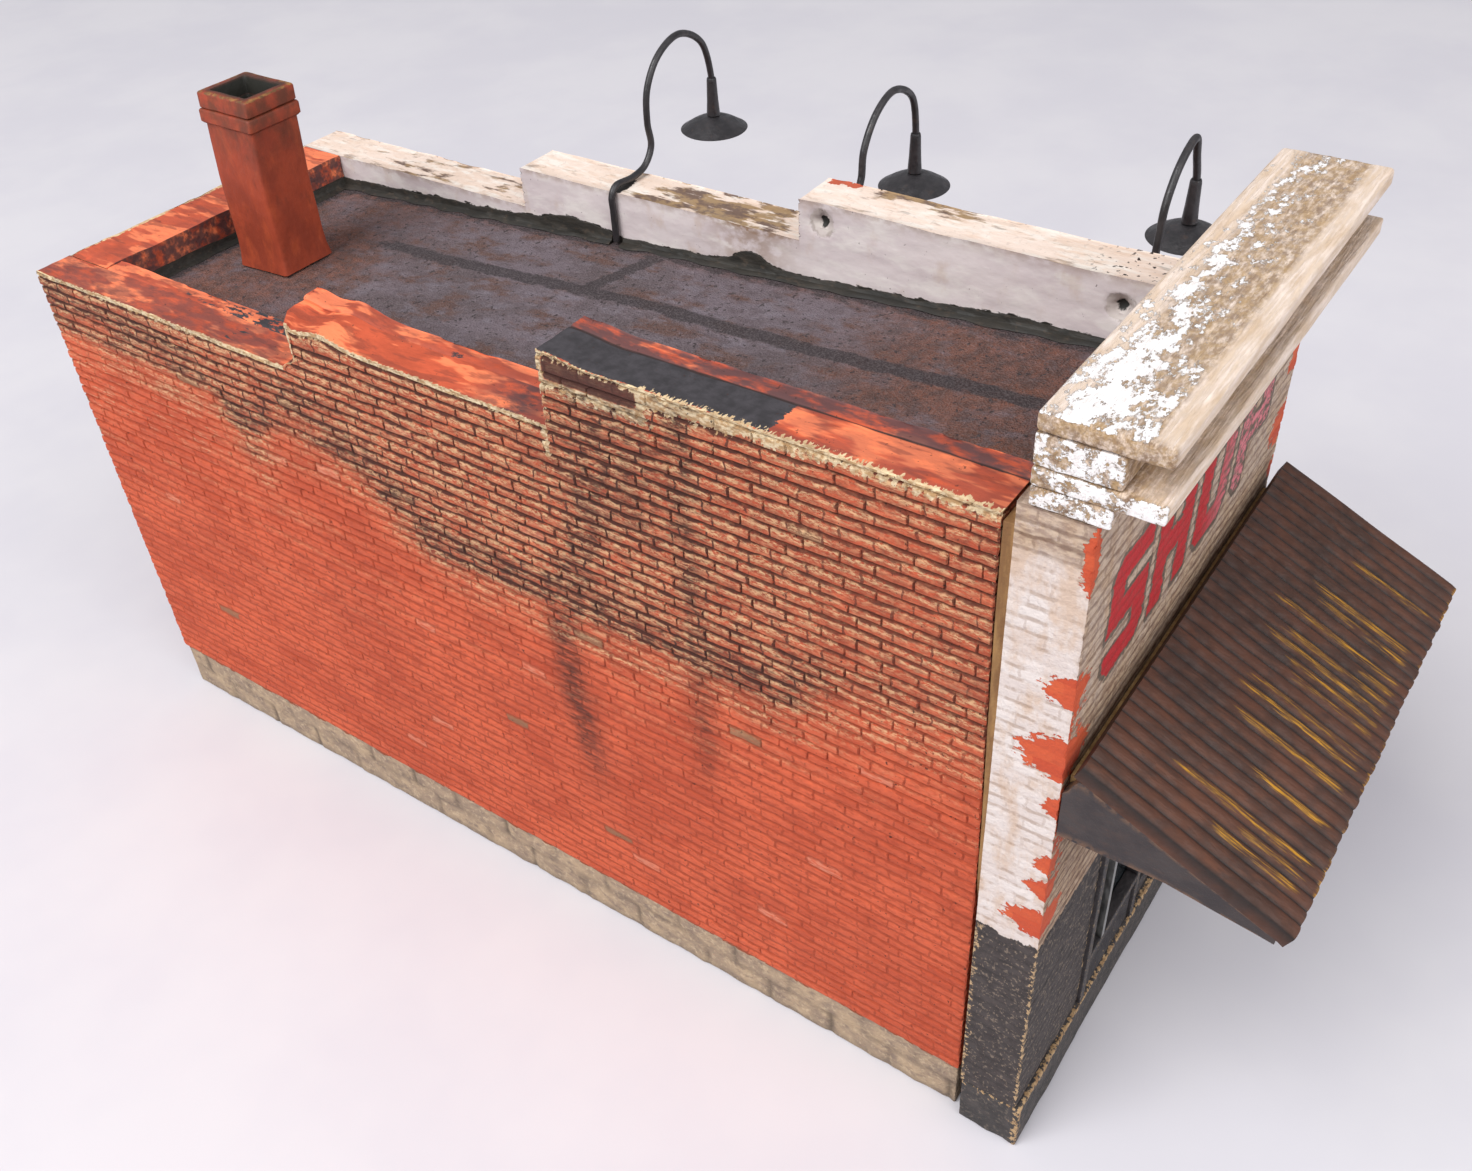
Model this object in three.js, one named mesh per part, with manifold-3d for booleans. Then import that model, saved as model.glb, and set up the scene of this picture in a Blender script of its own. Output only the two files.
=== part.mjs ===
// A model railway shop building in HO scale (1:87): brick side walls with stepped parapets,
// a sloping roof, a hollow brick chimney, a painted shopfront under a timber cornice and a
// ribbed awning, and three gooseneck wall lamps on bent wire.
//
// Millimetres. +X is the visitor's right, +Y runs to the back of the building, +Z is up.
// Inside the building group x = 0 is the outer face of the left wall, y = 0 is the front end
// of the side walls and z = 0 is the ground.

import * as THREE from 'three';
import * as BufferGeometryUtils from 'three/addons/utils/BufferGeometryUtils.js';
import Module from 'manifold-3d';

const wasm = await Module();
wasm.setup();

// ---------------------------------------------------------------- driving dimensions

const COURSE = 0.78;                          // one brick course with its joint
const FOOTING_HEIGHT = 4.4;                   // stone footing under the brickwork
const LENGTH = 78;                            // side walls, front to back
const WIDTH = 30;                             // outer face to outer face
const Z_LOW = 41.45;                          // parapet tops, back to front
const Z_MID = 44.55;
const Z_HIGH_LEFT = 49.1;
const Z_HIGH_RIGHT = 47.5;
const STEP_HIGH = 28;                         // where the high length of parapet ends
const STEP_MID_LEFT = 51;                     // where the middle length ends, left wall
const STEP_MID_RIGHT = 53;                    // and right wall

const LEFT_SKIN = 3.0;                        // left wall casting
const LEFT_BACKING = 1.4;                     // strip glued behind its parapet
const RIGHT_THICK = 3.9;
const REAR_THICK = 4.4;
const FOOTING_INSET = 0.15;                   // stone face behind the brick face

const FACADE_LEFT = -0.4;                     // the front casting laps past the left wall
const FACADE_FRONT = -4.3;
const FACADE_BACK = -0.4;
const PLINTH_TOP = 4.3;
const PLINTH_FRONT = -4.65;
const PLINTH_OVERHANG = 0.1;                  // past the facade at each end
const STRIP_SIDE_INSET = 0.1;                 // joint packing behind the wall face
const STRIP_TOP_INSET = 0.4;
const OPENING_LEFT = 8.8;                     // shopfront opening
const OPENING_RIGHT = 26.4;
const OPENING_TOP = 29.2;

const FRIEZE_BOTTOM = 50.4;                   // cornice, a stack of four timber strips
const MOULDING_BOTTOM = 51.5;
const NECK_BOTTOM = 52.5;
const CAP_BOTTOM = 54.2;
const CAP_TOP = 55.3;
const CORNICE_BACK = -0.9;
const CORNICE_FRONT = -6.95;
const MOULDING_FRONT = -7.0;
const NECK_FRONT = -5.0;
const FRIEZE_FRONT = -4.75;
const CORNICE_OVERHANG = 0.1;                 // past the facade at each end
const CAP_OVERHANG = 0.15;

const ROOF_FRONT_Z = 43.4;                    // roof surface, falling to the back
const ROOF_BACK_Z = 39.0;
const ROOF_THICK = 1.0;
const CLEAT = 2.0;                            // square roof bearer
const POST = 4.0;                             // square corner brace
const POST_TOP = 34.0;
const FLASHING_THICK = 0.3;
const FLASHING_HEIGHT = 1.3;
const STEM_GAP = 0.5;                         // break in the flashing for the rear lamp's stem

const CHIMNEY_X = 11.2;                       // left face
const CHIMNEY_Y = 63.85;                      // front face
const CHIMNEY_WIDE = 4.35;
const CHIMNEY_DEEP = 5.05;
const CHIMNEY_WALL = 0.6;
const CHIMNEY_BAND_Z = 50.3;
const CHIMNEY_RIM_Z = 51.3;
const CHIMNEY_TOP = 52.5;
const CHIMNEY_BAND_PROUD = 0.22;
const CHIMNEY_RIM_PROUD = 0.12;

const FRAME_FRONT = -4.5;                     // shopfront joinery
const FRAME_BACK = -3.6;
const FRAME_BAR = 0.7;
const PANEL_FRONT = -4.25;
const BULKHEAD_TOP = 8.4;
const TRANSOM_Z = 25.6;
const MULLION_X = 11.0;
const MULLION_WIDE = 0.45;
const GLASS_THICK = 0.3;
const GLASS_LAP = 0.4;                        // glass laps the frame behind it
const GLASS_GAP = 0.1;                        // between neighbouring panes
const DOOR_LEFT = 17.9;
const DOOR_GAP = 0.1;
const DOOR_STILE = 1.2;
const DOOR_FRONT = -4.2;
const DOOR_LIGHT_BOTTOM = 12.5;
const KNOB_RADIUS = 0.28;
const KNOB_Z = 13.2;

const AWNING_RIGHT = 29.8;
const AWNING_RIBS = 32;
const AWNING_RIB_RISE = 0.22;
const AWNING_THICK = 0.9;                     // under the grooves
const AWNING_BACK = { y: -5.2, z: 36.3 };     // crest of the ribs, at the wall
const AWNING_EDGE = { y: -16.5, z: 31.0 };    // crest of the ribs, at the drip edge
const AWNING_BOARD = 0.9;                     // end boards
const AWNING_SOFFIT = 30.7;                   // level bottom edge of the end boards
const AWNING_LIP = 0.9;                       // end boards stop this far short of the drip edge
const AWNING_LIP_DROP = 0.85;                 // front corner of an end board, below the soffit
const AWNING_LIP_LEVEL = 5.6;                 // and how far back the soffit starts
const AWNING_HEEL_DROP = 1.2;                 // square heel of an end board against the wall
const LEDGER_DEPTH = 0.8;                     // timber on the wall that carries the rafters
const LEDGER_Z = [33.2, 34.4];
const RAIL_DEPTH = 1.0;                       // timber behind the drip edge
const RAIL_DROP = 1.2;
const RAFTER_SIZE = 0.8;

const WIRE_RADIUS = 0.25;
const LAMP_HOLE_RADIUS = 0.4;
const LAMP_MIDDLE_HOLE_Z = 46.2;
const LAMP_FRONT_HOLE_Z = 45.6;
const BREAKOUT_RADIUS = 1.0;
const BREAKOUT_DEPTH = 0.5;
const LAMP_REAR_Y = 43.85;                    // hooked over the middle parapet
const LAMP_MIDDLE_Y = 26.2;
const LAMP_FRONT_Y = 5.4;
const LAMP_REAR_HEAD = { x: 38.7, z: 45.9 };  // crown of each shade
const LAMP_MIDDLE_HEAD = { x: 38.7, z: 44.9 };
const LAMP_FRONT_HEAD = { x: 36.7, z: 46.6 };
const LAMP_MIDDLE_LEVEL = 45.7;               // heights of a plugged wire's loop are above this
const LAMP_FRONT_LEVEL = 46.4;
const SHADE_RADIUS = 2.6;
const SHADE_DEPTH = 1.05;
const SHADE_WALL = 0.25;
const SHADE_LIP = 0.15;
const SLEEVE_LENGTH = 2.9;
const SLEEVE_FOOT_RADIUS = 0.52;
const SLEEVE_TOP_RADIUS = 0.36;
const SLEEVE_BORE_RADIUS = 0.29;
const SLEEVE_BORE_DEPTH = 1.5;
const WIRE_IN_SLEEVE = 1.4;
const WIRE_CLEARANCE = 0.03;                  // between the hooked wire and the parapet

// Wire routes as offsets across and up. The plugged wire's root is measured from its hole's mouth and
// its loop from the lamp's level, and the hooked wire from the parapet's outer top edge. Each then
// turns down into its sleeve.
const PLUGGED_ROOT = [[-2.4, 0], [-0.4, 0], [0.7, 0.35]];
const PLUGGED_LOOP = [[1.2, 1.6], [1.5, 3.4], [3.1, 5.4], [5.4, 6.2]];
const PLUGGED_SHOULDER = { back: 0.7, up: 4.9 };
const HOOKED_ROUTE = [[-1.6, 0.02], [-0.1, 0.35], [0.8, 1.5], [0.6, 3.3], [0.9, 5.6], [2.4, 7.5], [5, 8.3]];
const HOOKED_SHOULDER = { back: 1.0, up: 6.9 };

// ---------------------------------------------------------------- materials

function finish(color, roughness, metalness = 0) {
  return new THREE.MeshStandardMaterial({ color, roughness, metalness });
}

const brick = finish(0xc65f40, 0.9);
const parapetWhite = finish(0xd8cdc9, 0.85);
const stone = finish(0xa8927c, 0.95);
const facadeWhite = finish(0xe6dad2, 0.85);
const charcoalPaint = finish(0x4a4546, 0.7);
const creamTimber = finish(0xd9c3ab, 0.85);
const roofPaper = finish(0x6a5b5c, 0.95);
const tar = finish(0x2c2a2a, 0.8);
const bareTimber = finish(0xb08a58, 0.85);
const awningPaint = finish(0x55403a, 0.75);
const greyMetal = finish(0x9a9c9e, 0.4, 0.8);
const glass = finish(0x20262a, 0.1);
const lampPaint = finish(0x4a4546, 0.45, 0.3);

// ---------------------------------------------------------------- helpers

const building = new THREE.Group();

function add(name, geometry, material) {
  const mesh = new THREE.Mesh(geometry, material);
  mesh.name = name;
  building.add(mesh);
  return mesh;
}

// A box given by its low and high corner on each axis.
function block(x0, x1, y0, y1, z0, z1) {
  const geometry = new THREE.BoxGeometry(x1 - x0, y1 - y0, z1 - z0);
  geometry.translate((x0 + x1) / 2, (y0 + y1) / 2, (z0 + z1) / 2);
  return geometry;
}

function outline(points) {
  return new THREE.Shape(points.map(([u, v]) => new THREE.Vector2(u, v)));
}

// A side profile of (y, z) points, carried across from x0 to x1.
function acrossX(shape, x0, x1) {
  const geometry = new THREE.ExtrudeGeometry(shape, { depth: x1 - x0, bevelEnabled: false });
  geometry.applyMatrix4(new THREE.Matrix4().set(
    0, 0, 1, x0,
    1, 0, 0, 0,
    0, 1, 0, 0,
    0, 0, 0, 1,
  ));
  return geometry;
}

// A front profile of (x, z) points, carried back from y0 to y1.
function alongY(shape, y0, y1) {
  const geometry = new THREE.ExtrudeGeometry(shape, { depth: y1 - y0, bevelEnabled: false });
  geometry.applyMatrix4(new THREE.Matrix4().set(
    1, 0, 0, 0,
    0, 0, -1, y1,
    0, 1, 0, 0,
    0, 0, 0, 1,
  ));
  return geometry;
}

function rectangleHole(x0, x1, z0, z1) {
  return new THREE.Path([[x0, z0], [x1, z0], [x1, z1], [x0, z1]].map(([x, z]) => new THREE.Vector2(x, z)));
}

function toSolid(geometry) {
  const bare = geometry.clone();
  bare.deleteAttribute('normal');
  bare.deleteAttribute('uv');
  const merged = BufferGeometryUtils.mergeVertices(bare, 1e-4);
  return new wasm.Manifold(new wasm.Mesh({
    numProp: 3,
    vertProperties: new Float32Array(merged.attributes.position.array),
    triVerts: new Uint32Array(merged.index.array),
  }));
}

function toGeometry(solid) {
  const mesh = solid.getMesh();
  const geometry = new THREE.BufferGeometry();
  geometry.setAttribute('position', new THREE.BufferAttribute(mesh.vertProperties, 3));
  geometry.setIndex(new THREE.BufferAttribute(mesh.triVerts, 1));
  geometry.computeVertexNormals();
  return geometry;
}

function cut(body, ...tools) {
  let solid = toSolid(body);
  for (const tool of tools) {
    solid = solid.subtract(toSolid(tool));
  }
  return toGeometry(solid);
}

// Roof surface height above a point y back from the front.
function roofHeight(y) {
  return ROOF_FRONT_Z + (ROOF_BACK_Z - ROOF_FRONT_Z) * (y / (LENGTH - REAR_THICK));
}

// A strip that follows the roof's fall, between two heights above its surface.
function roofStrip(y0, y1, below, above) {
  return outline([
    [y0, roofHeight(y0) + below],
    [y1, roofHeight(y1) + below],
    [y1, roofHeight(y1) + above],
    [y0, roofHeight(y0) + above],
  ]);
}

// ---------------------------------------------------------------- walls

const REAR_INNER = LENGTH - REAR_THICK;
const RIGHT_INNER = WIDTH - RIGHT_THICK;
const LEFT_INNER = LEFT_SKIN + LEFT_BACKING;

// Side of a wall whose top steps down twice on its way to the back.
function steppedProfile(bottom, stepMid, end, high) {
  return outline([
    [0, bottom],
    [end, bottom],
    [end, Z_LOW],
    [stepMid, Z_LOW],
    [stepMid, Z_MID],
    [STEP_HIGH, Z_MID],
    [STEP_HIGH, high],
    [0, high],
  ]);
}

// A through hole for a lamp stem, opened out on the inner face where the drill broke through.
function lampHole(y, z) {
  const through = new THREE.CylinderGeometry(LAMP_HOLE_RADIUS, LAMP_HOLE_RADIUS, 2 * RIGHT_THICK, 16);
  through.rotateZ(Math.PI / 2);
  through.translate(RIGHT_INNER + RIGHT_THICK / 2, y, z);
  return through;
}

function breakout(y, z) {
  const crater = new THREE.CylinderGeometry(LAMP_HOLE_RADIUS, BREAKOUT_RADIUS, 2 * BREAKOUT_DEPTH, 16);
  crater.rotateZ(-Math.PI / 2);
  crater.translate(RIGHT_INNER, y, z);
  return crater;
}

function buildWalls() {
  const leftProfile = steppedProfile(FOOTING_HEIGHT, STEP_MID_LEFT, LENGTH, Z_HIGH_LEFT);
  add('left_wall', acrossX(leftProfile, 0, LEFT_SKIN), brick);

  const backingBottom = POST_TOP + 0.2;
  const backing = steppedProfile(backingBottom, STEP_MID_LEFT, REAR_INNER, Z_HIGH_LEFT);
  add('left_parapet_backing', acrossX(backing, LEFT_SKIN, LEFT_INNER), brick);

  const rightProfile = steppedProfile(FOOTING_HEIGHT, STEP_MID_RIGHT, LENGTH, Z_HIGH_RIGHT);
  const drilled = cut(
    acrossX(rightProfile, RIGHT_INNER, WIDTH),
    lampHole(LAMP_MIDDLE_Y, LAMP_MIDDLE_HOLE_Z),
    breakout(LAMP_MIDDLE_Y, LAMP_MIDDLE_HOLE_Z),
    lampHole(LAMP_FRONT_Y, LAMP_FRONT_HOLE_Z),
    breakout(LAMP_FRONT_Y, LAMP_FRONT_HOLE_Z),
  );
  add('right_wall', drilled, parapetWhite);

  add('rear_wall', block(LEFT_SKIN, RIGHT_INNER, REAR_INNER, LENGTH, FOOTING_HEIGHT, Z_LOW), brick);
}

function buildFootings() {
  const inner = LENGTH - FOOTING_INSET;
  add('left_footing', block(FOOTING_INSET, LEFT_SKIN, 0, inner, 0, FOOTING_HEIGHT), stone);
  add('right_footing', block(RIGHT_INNER, WIDTH - FOOTING_INSET, 0, inner, 0, FOOTING_HEIGHT), stone);
  add('rear_footing', block(LEFT_SKIN, RIGHT_INNER, REAR_INNER, inner, 0, FOOTING_HEIGHT), stone);
}

// Card packing between the ends of the side walls and the back of the front casting.
function buildJointStrips() {
  const leftTop = Z_HIGH_LEFT - STRIP_TOP_INSET;
  const rightTop = Z_HIGH_RIGHT - STRIP_TOP_INSET;
  const right = WIDTH - STRIP_SIDE_INSET;
  add('left_joint_strip', block(STRIP_SIDE_INSET, LEFT_INNER, FACADE_BACK, 0, 0, leftTop), bareTimber);
  add('right_joint_strip', block(RIGHT_INNER, right, FACADE_BACK, 0, 0, rightTop), bareTimber);
}

// Square timber glued into each inside corner to hold the four walls upright.
function buildCornerPosts() {
  const lefts = { left: LEFT_SKIN, right: RIGHT_INNER - POST };
  const fronts = { front: 0, rear: REAR_INNER - POST };
  for (const [side, x] of Object.entries(lefts)) {
    for (const [end, y] of Object.entries(fronts)) {
      add(`corner_post_${end}_${side}`, block(x, x + POST, y, y + POST, 0, POST_TOP), bareTimber);
    }
  }
}

// ---------------------------------------------------------------- roof

function buildRoof() {
  const panel = roofStrip(FACADE_BACK, REAR_INNER, -ROOF_THICK, 0);
  add('roof_panel', acrossX(panel, LEFT_INNER, RIGHT_INNER), roofPaper);

  const bearer = roofStrip(0, REAR_INNER, -ROOF_THICK - CLEAT, -ROOF_THICK);
  add('roof_bearer_left', acrossX(bearer, LEFT_INNER, LEFT_INNER + CLEAT), bareTimber);
  add('roof_bearer_right', acrossX(bearer, RIGHT_INNER - CLEAT, RIGHT_INNER), bareTimber);

  const side = (y0, y1) => roofStrip(y0, y1, 0, FLASHING_HEIGHT);
  const rightFace = RIGHT_INNER - FLASHING_THICK;
  add('flashing_left', acrossX(side(0, REAR_INNER), LEFT_INNER, LEFT_INNER + FLASHING_THICK), tar);
  add('flashing_right_front', acrossX(side(0, LAMP_REAR_Y - STEM_GAP), rightFace, RIGHT_INNER), tar);
  add('flashing_right_rear', acrossX(side(LAMP_REAR_Y + STEM_GAP, REAR_INNER), rightFace, RIGHT_INNER), tar);
  const rear = side(REAR_INNER - FLASHING_THICK, REAR_INNER);
  add('flashing_rear', acrossX(rear, LEFT_INNER + FLASHING_THICK, rightFace), tar);
  const front = side(FACADE_BACK, FACADE_BACK + FLASHING_THICK);
  add('flashing_front', acrossX(front, LEFT_INNER, RIGHT_INNER), tar);
}

// ---------------------------------------------------------------- chimney

// A rectangular ring round the flue, standing out from the stack by a given amount.
function chimneyRing(proud, z0, z1) {
  const ring = outline([
    [CHIMNEY_X - proud, CHIMNEY_Y - proud],
    [CHIMNEY_X + CHIMNEY_WIDE + proud, CHIMNEY_Y - proud],
    [CHIMNEY_X + CHIMNEY_WIDE + proud, CHIMNEY_Y + CHIMNEY_DEEP + proud],
    [CHIMNEY_X - proud, CHIMNEY_Y + CHIMNEY_DEEP + proud],
  ]);
  const x0 = CHIMNEY_X + CHIMNEY_WALL;
  const x1 = CHIMNEY_X + CHIMNEY_WIDE - CHIMNEY_WALL;
  const y0 = CHIMNEY_Y + CHIMNEY_WALL;
  const y1 = CHIMNEY_Y + CHIMNEY_DEEP - CHIMNEY_WALL;
  ring.holes.push(rectangleHole(x0, x1, y0, y1));
  const geometry = new THREE.ExtrudeGeometry(ring, { depth: z1 - z0, bevelEnabled: false });
  geometry.translate(0, 0, z0);
  return geometry;
}

// The stack is cut off along the roof's slope at its foot.
function buildChimney() {
  const tube = chimneyRing(0, ROOF_BACK_Z - ROOF_THICK, CHIMNEY_BAND_Z);
  const margin = CHIMNEY_DEEP;
  const belowRoof = roofStrip(CHIMNEY_Y - margin, CHIMNEY_Y + CHIMNEY_DEEP + margin, -margin, 0);
  const cutter = acrossX(belowRoof, CHIMNEY_X - margin, CHIMNEY_X + CHIMNEY_WIDE + margin);
  add('chimney_stack', cut(tube, cutter), brick);
  add('chimney_band', chimneyRing(CHIMNEY_BAND_PROUD, CHIMNEY_BAND_Z, CHIMNEY_RIM_Z), brick);
  add('chimney_rim', chimneyRing(CHIMNEY_RIM_PROUD, CHIMNEY_RIM_Z, CHIMNEY_TOP), brick);
}

// ---------------------------------------------------------------- front

function buildFacade() {
  const face = outline([
    [FACADE_LEFT, PLINTH_TOP],
    [OPENING_LEFT, PLINTH_TOP],
    [OPENING_LEFT, OPENING_TOP],
    [OPENING_RIGHT, OPENING_TOP],
    [OPENING_RIGHT, PLINTH_TOP],
    [WIDTH, PLINTH_TOP],
    [WIDTH, FRIEZE_BOTTOM],
    [FACADE_LEFT, FRIEZE_BOTTOM],
  ]);
  add('facade', alongY(face, FACADE_FRONT, FACADE_BACK), facadeWhite);
  const plinthX = [FACADE_LEFT - PLINTH_OVERHANG, WIDTH + PLINTH_OVERHANG];
  add('plinth', block(...plinthX, PLINTH_FRONT, FACADE_BACK, 0, PLINTH_TOP), charcoalPaint);
}

function buildCornice() {
  const strips = [
    ['cornice_frieze', FRIEZE_BOTTOM, MOULDING_BOTTOM, FRIEZE_FRONT, CORNICE_OVERHANG],
    ['cornice_moulding', MOULDING_BOTTOM, NECK_BOTTOM, MOULDING_FRONT, CAP_OVERHANG],
    ['cornice_neck', NECK_BOTTOM, CAP_BOTTOM, NECK_FRONT, CORNICE_OVERHANG],
    ['cornice_cap', CAP_BOTTOM, CAP_TOP, CORNICE_FRONT, CAP_OVERHANG],
  ];
  for (const [name, z0, z1, front, proud] of strips) {
    add(name, block(FACADE_LEFT - proud, WIDTH + proud, front, CORNICE_BACK, z0, z1), creamTimber);
  }
}

// ---------------------------------------------------------------- shopfront

function buildShopfront() {
  const windowX = [OPENING_LEFT + FRAME_BAR, DOOR_LEFT - FRAME_BAR];
  const doorX = [DOOR_LEFT, OPENING_RIGHT - FRAME_BAR];
  const through = [FRAME_FRONT - 1, FRAME_BACK + 1];
  const lightTop = OPENING_TOP - FRAME_BAR;
  const lightBottom = TRANSOM_Z + FRAME_BAR;
  const slab = block(OPENING_LEFT, OPENING_RIGHT, FRAME_FRONT, FRAME_BACK, PLINTH_TOP, OPENING_TOP);
  const frame = cut(
    slab,
    block(...windowX, ...through, PLINTH_TOP - 1, BULKHEAD_TOP),
    block(...windowX, ...through, BULKHEAD_TOP + FRAME_BAR, TRANSOM_Z),
    block(...windowX, ...through, lightBottom, lightTop),
    block(...doorX, ...through, PLINTH_TOP - 1, TRANSOM_Z),
    block(...doorX, ...through, lightBottom, lightTop),
  );
  add('shopfront_frame', frame, charcoalPaint);

  const panel = block(...windowX, PANEL_FRONT, FRAME_BACK, PLINTH_TOP, BULKHEAD_TOP);
  add('shopfront_panel', panel, charcoalPaint);

  const mullionX = [MULLION_X, MULLION_X + MULLION_WIDE];
  const mullion = block(...mullionX, FRAME_FRONT, FRAME_BACK, BULKHEAD_TOP + FRAME_BAR, TRANSOM_Z);
  add('window_mullion', mullion, greyMetal);

  const paneY = [FRAME_BACK, FRAME_BACK + GLASS_THICK];
  const windowPane = block(OPENING_LEFT, DOOR_LEFT - GLASS_GAP, ...paneY, BULKHEAD_TOP, OPENING_TOP);
  add('window_glass', windowPane, glass);
  const overDoor = block(DOOR_LEFT, OPENING_RIGHT, ...paneY, TRANSOM_Z + GLASS_GAP, OPENING_TOP);
  add('transom_glass', overDoor, glass);
  buildDoor(paneY);
}

function buildDoor(paneY) {
  const left = DOOR_LEFT + DOOR_GAP;
  const right = OPENING_RIGHT - FRAME_BAR - DOOR_GAP;
  const bottom = PLINTH_TOP + DOOR_GAP;
  const top = TRANSOM_Z - DOOR_GAP;
  const lightX = [left + DOOR_STILE, right - DOOR_STILE];
  const lightTop = top - DOOR_STILE;
  const leaf = outline([[left, bottom], [right, bottom], [right, top], [left, top]]);
  leaf.holes.push(rectangleHole(...lightX, DOOR_LIGHT_BOTTOM, lightTop));
  add('door_leaf', alongY(leaf, DOOR_FRONT, FRAME_BACK), charcoalPaint);

  const paneX = [lightX[0] - GLASS_LAP, lightX[1] + GLASS_LAP];
  const pane = block(...paneX, ...paneY, DOOR_LIGHT_BOTTOM - GLASS_LAP, lightTop + GLASS_LAP);
  add('door_glass', pane, glass);

  const knob = new THREE.SphereGeometry(KNOB_RADIUS, 12, 8);
  knob.translate(left + DOOR_STILE / 2, DOOR_FRONT - KNOB_RADIUS, KNOB_Z);
  add('door_knob', knob, greyMetal);
}

// ---------------------------------------------------------------- awning

const AWNING_RUN = AWNING_BACK.y - AWNING_EDGE.y;
const AWNING_SLOPE = Math.atan2(AWNING_BACK.z - AWNING_EDGE.z, AWNING_RUN);

// Height of the plane through the rib crests at a given y.
function awningCrest(y) {
  return AWNING_EDGE.z + (y - AWNING_EDGE.y) * Math.tan(AWNING_SLOPE);
}

// Height of the flat underside of the ribbed sheet.
function awningUnderside(y) {
  return awningCrest(y) - (AWNING_THICK + AWNING_RIB_RISE) / Math.cos(AWNING_SLOPE);
}

// Cross-section of the sheet, a row of round ribs meeting in sharp grooves.
function ribbedSection() {
  const width = AWNING_RIGHT - FACADE_LEFT;
  const pitch = width / AWNING_RIBS;
  const facets = 4;
  const underside = -AWNING_THICK - AWNING_RIB_RISE;
  const points = [[0, underside], [width, underside]];
  for (let step = AWNING_RIBS * facets; step >= 0; step -= 1) {
    const t = step / facets;
    points.push([t * pitch, -AWNING_RIB_RISE * (1 - Math.abs(Math.sin(Math.PI * t)))]);
  }
  return outline(points);
}

function buildAwningSheet() {
  const length = AWNING_RUN / Math.cos(AWNING_SLOPE);
  const geometry = alongY(ribbedSection(), 0, length);
  geometry.rotateX(AWNING_SLOPE);
  geometry.translate(FACADE_LEFT, AWNING_EDGE.y, AWNING_EDGE.z);
  add('awning_sheet', geometry, awningPaint);
}

// Side of an end board: level soffit, square heel at the wall, top edge under the sheet.
function awningSideProfile(back, front) {
  return outline([
    [back, AWNING_SOFFIT],
    [back, awningUnderside(AWNING_BACK.y) - AWNING_HEEL_DROP],
    [AWNING_BACK.y, awningUnderside(AWNING_BACK.y)],
    [front, awningUnderside(front)],
    [front, AWNING_SOFFIT - AWNING_LIP_DROP],
    [front + AWNING_LIP_LEVEL, AWNING_SOFFIT],
  ]);
}

function buildAwning() {
  buildAwningSheet();
  const wall = FACADE_FRONT;
  const lipY = AWNING_EDGE.y + AWNING_LIP;
  const board = awningSideProfile(wall, lipY);
  const leftInner = FACADE_LEFT + AWNING_BOARD;
  const rightInner = AWNING_RIGHT - AWNING_BOARD;
  add('awning_end_left', acrossX(board, FACADE_LEFT, leftInner), awningPaint);
  add('awning_end_right', acrossX(board, rightInner, AWNING_RIGHT), awningPaint);

  const ledgerFront = wall - LEDGER_DEPTH;
  add('awning_ledger', block(leftInner, rightInner, ledgerFront, wall, ...LEDGER_Z), bareTimber);

  const railBack = lipY + RAIL_DEPTH;
  const rail = outline([
    [lipY, AWNING_SOFFIT - RAIL_DROP],
    [railBack, AWNING_SOFFIT - RAIL_DROP],
    [railBack, awningUnderside(railBack)],
    [lipY, awningUnderside(lipY)],
  ]);
  add('awning_front_rail', acrossX(rail, leftInner, rightInner), bareTimber);

  const rafter = outline([
    [railBack, awningUnderside(railBack) - RAFTER_SIZE],
    [ledgerFront, awningUnderside(ledgerFront) - RAFTER_SIZE],
    [ledgerFront, awningUnderside(ledgerFront)],
    [railBack, awningUnderside(railBack)],
  ]);
  const names = ['awning_rafter_left', 'awning_rafter_right'];
  const bay = (rightInner - leftInner) / (names.length + 1);
  for (const [index, name] of names.entries()) {
    const x = leftInner + bay * (index + 1) - RAFTER_SIZE / 2;
    add(name, acrossX(rafter, x, x + RAFTER_SIZE), bareTimber);
  }
}

// ---------------------------------------------------------------- lamps

// Bent wire of eight flats along a smooth curve in the plane y.
function bentWire(points, y, steps) {
  const stations = points.map(([x, z]) => new THREE.Vector3(x, y, z));
  const extrudePath = new THREE.CatmullRomCurve3(stations, false, 'centripetal');
  const section = new THREE.Shape();
  section.absarc(0, 0, WIRE_RADIUS, 0, 2 * Math.PI, false);
  return new THREE.ExtrudeGeometry(section, { steps, curveSegments: 4, bevelEnabled: false, extrudePath });
}

function lathe(profile, segments, x, y, z) {
  const geometry = new THREE.LatheGeometry(profile.map(([r, h]) => new THREE.Vector2(r, h)), segments);
  geometry.rotateX(Math.PI / 2);
  geometry.translate(x, y, z);
  return geometry;
}

// A tapering sleeve with a blind socket for the wire; its foot is at z.
function sleeve(x, y, z) {
  return lathe([
    [0, 0],
    [SLEEVE_FOOT_RADIUS, 0],
    [SLEEVE_TOP_RADIUS, SLEEVE_LENGTH],
    [SLEEVE_BORE_RADIUS, SLEEVE_LENGTH],
    [SLEEVE_BORE_RADIUS, SLEEVE_LENGTH - SLEEVE_BORE_DEPTH],
    [0, SLEEVE_LENGTH - SLEEVE_BORE_DEPTH],
  ], 16, x, y, z);
}

// A shallow dished shade, open below, whose crown is at z.
function shade(x, y, z) {
  const rings = 6;
  const inner = [];
  const outer = [];
  for (let ring = 0; ring <= rings; ring += 1) {
    const t = ring / rings;
    inner.push([(SHADE_RADIUS - SHADE_LIP) * t, -SHADE_WALL - (SHADE_DEPTH - SHADE_WALL) * t * t]);
    outer.unshift([SHADE_RADIUS * t, -SHADE_DEPTH * t * t]);
  }
  return lathe([...inner, ...outer], 32, x, y, z);
}

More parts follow.
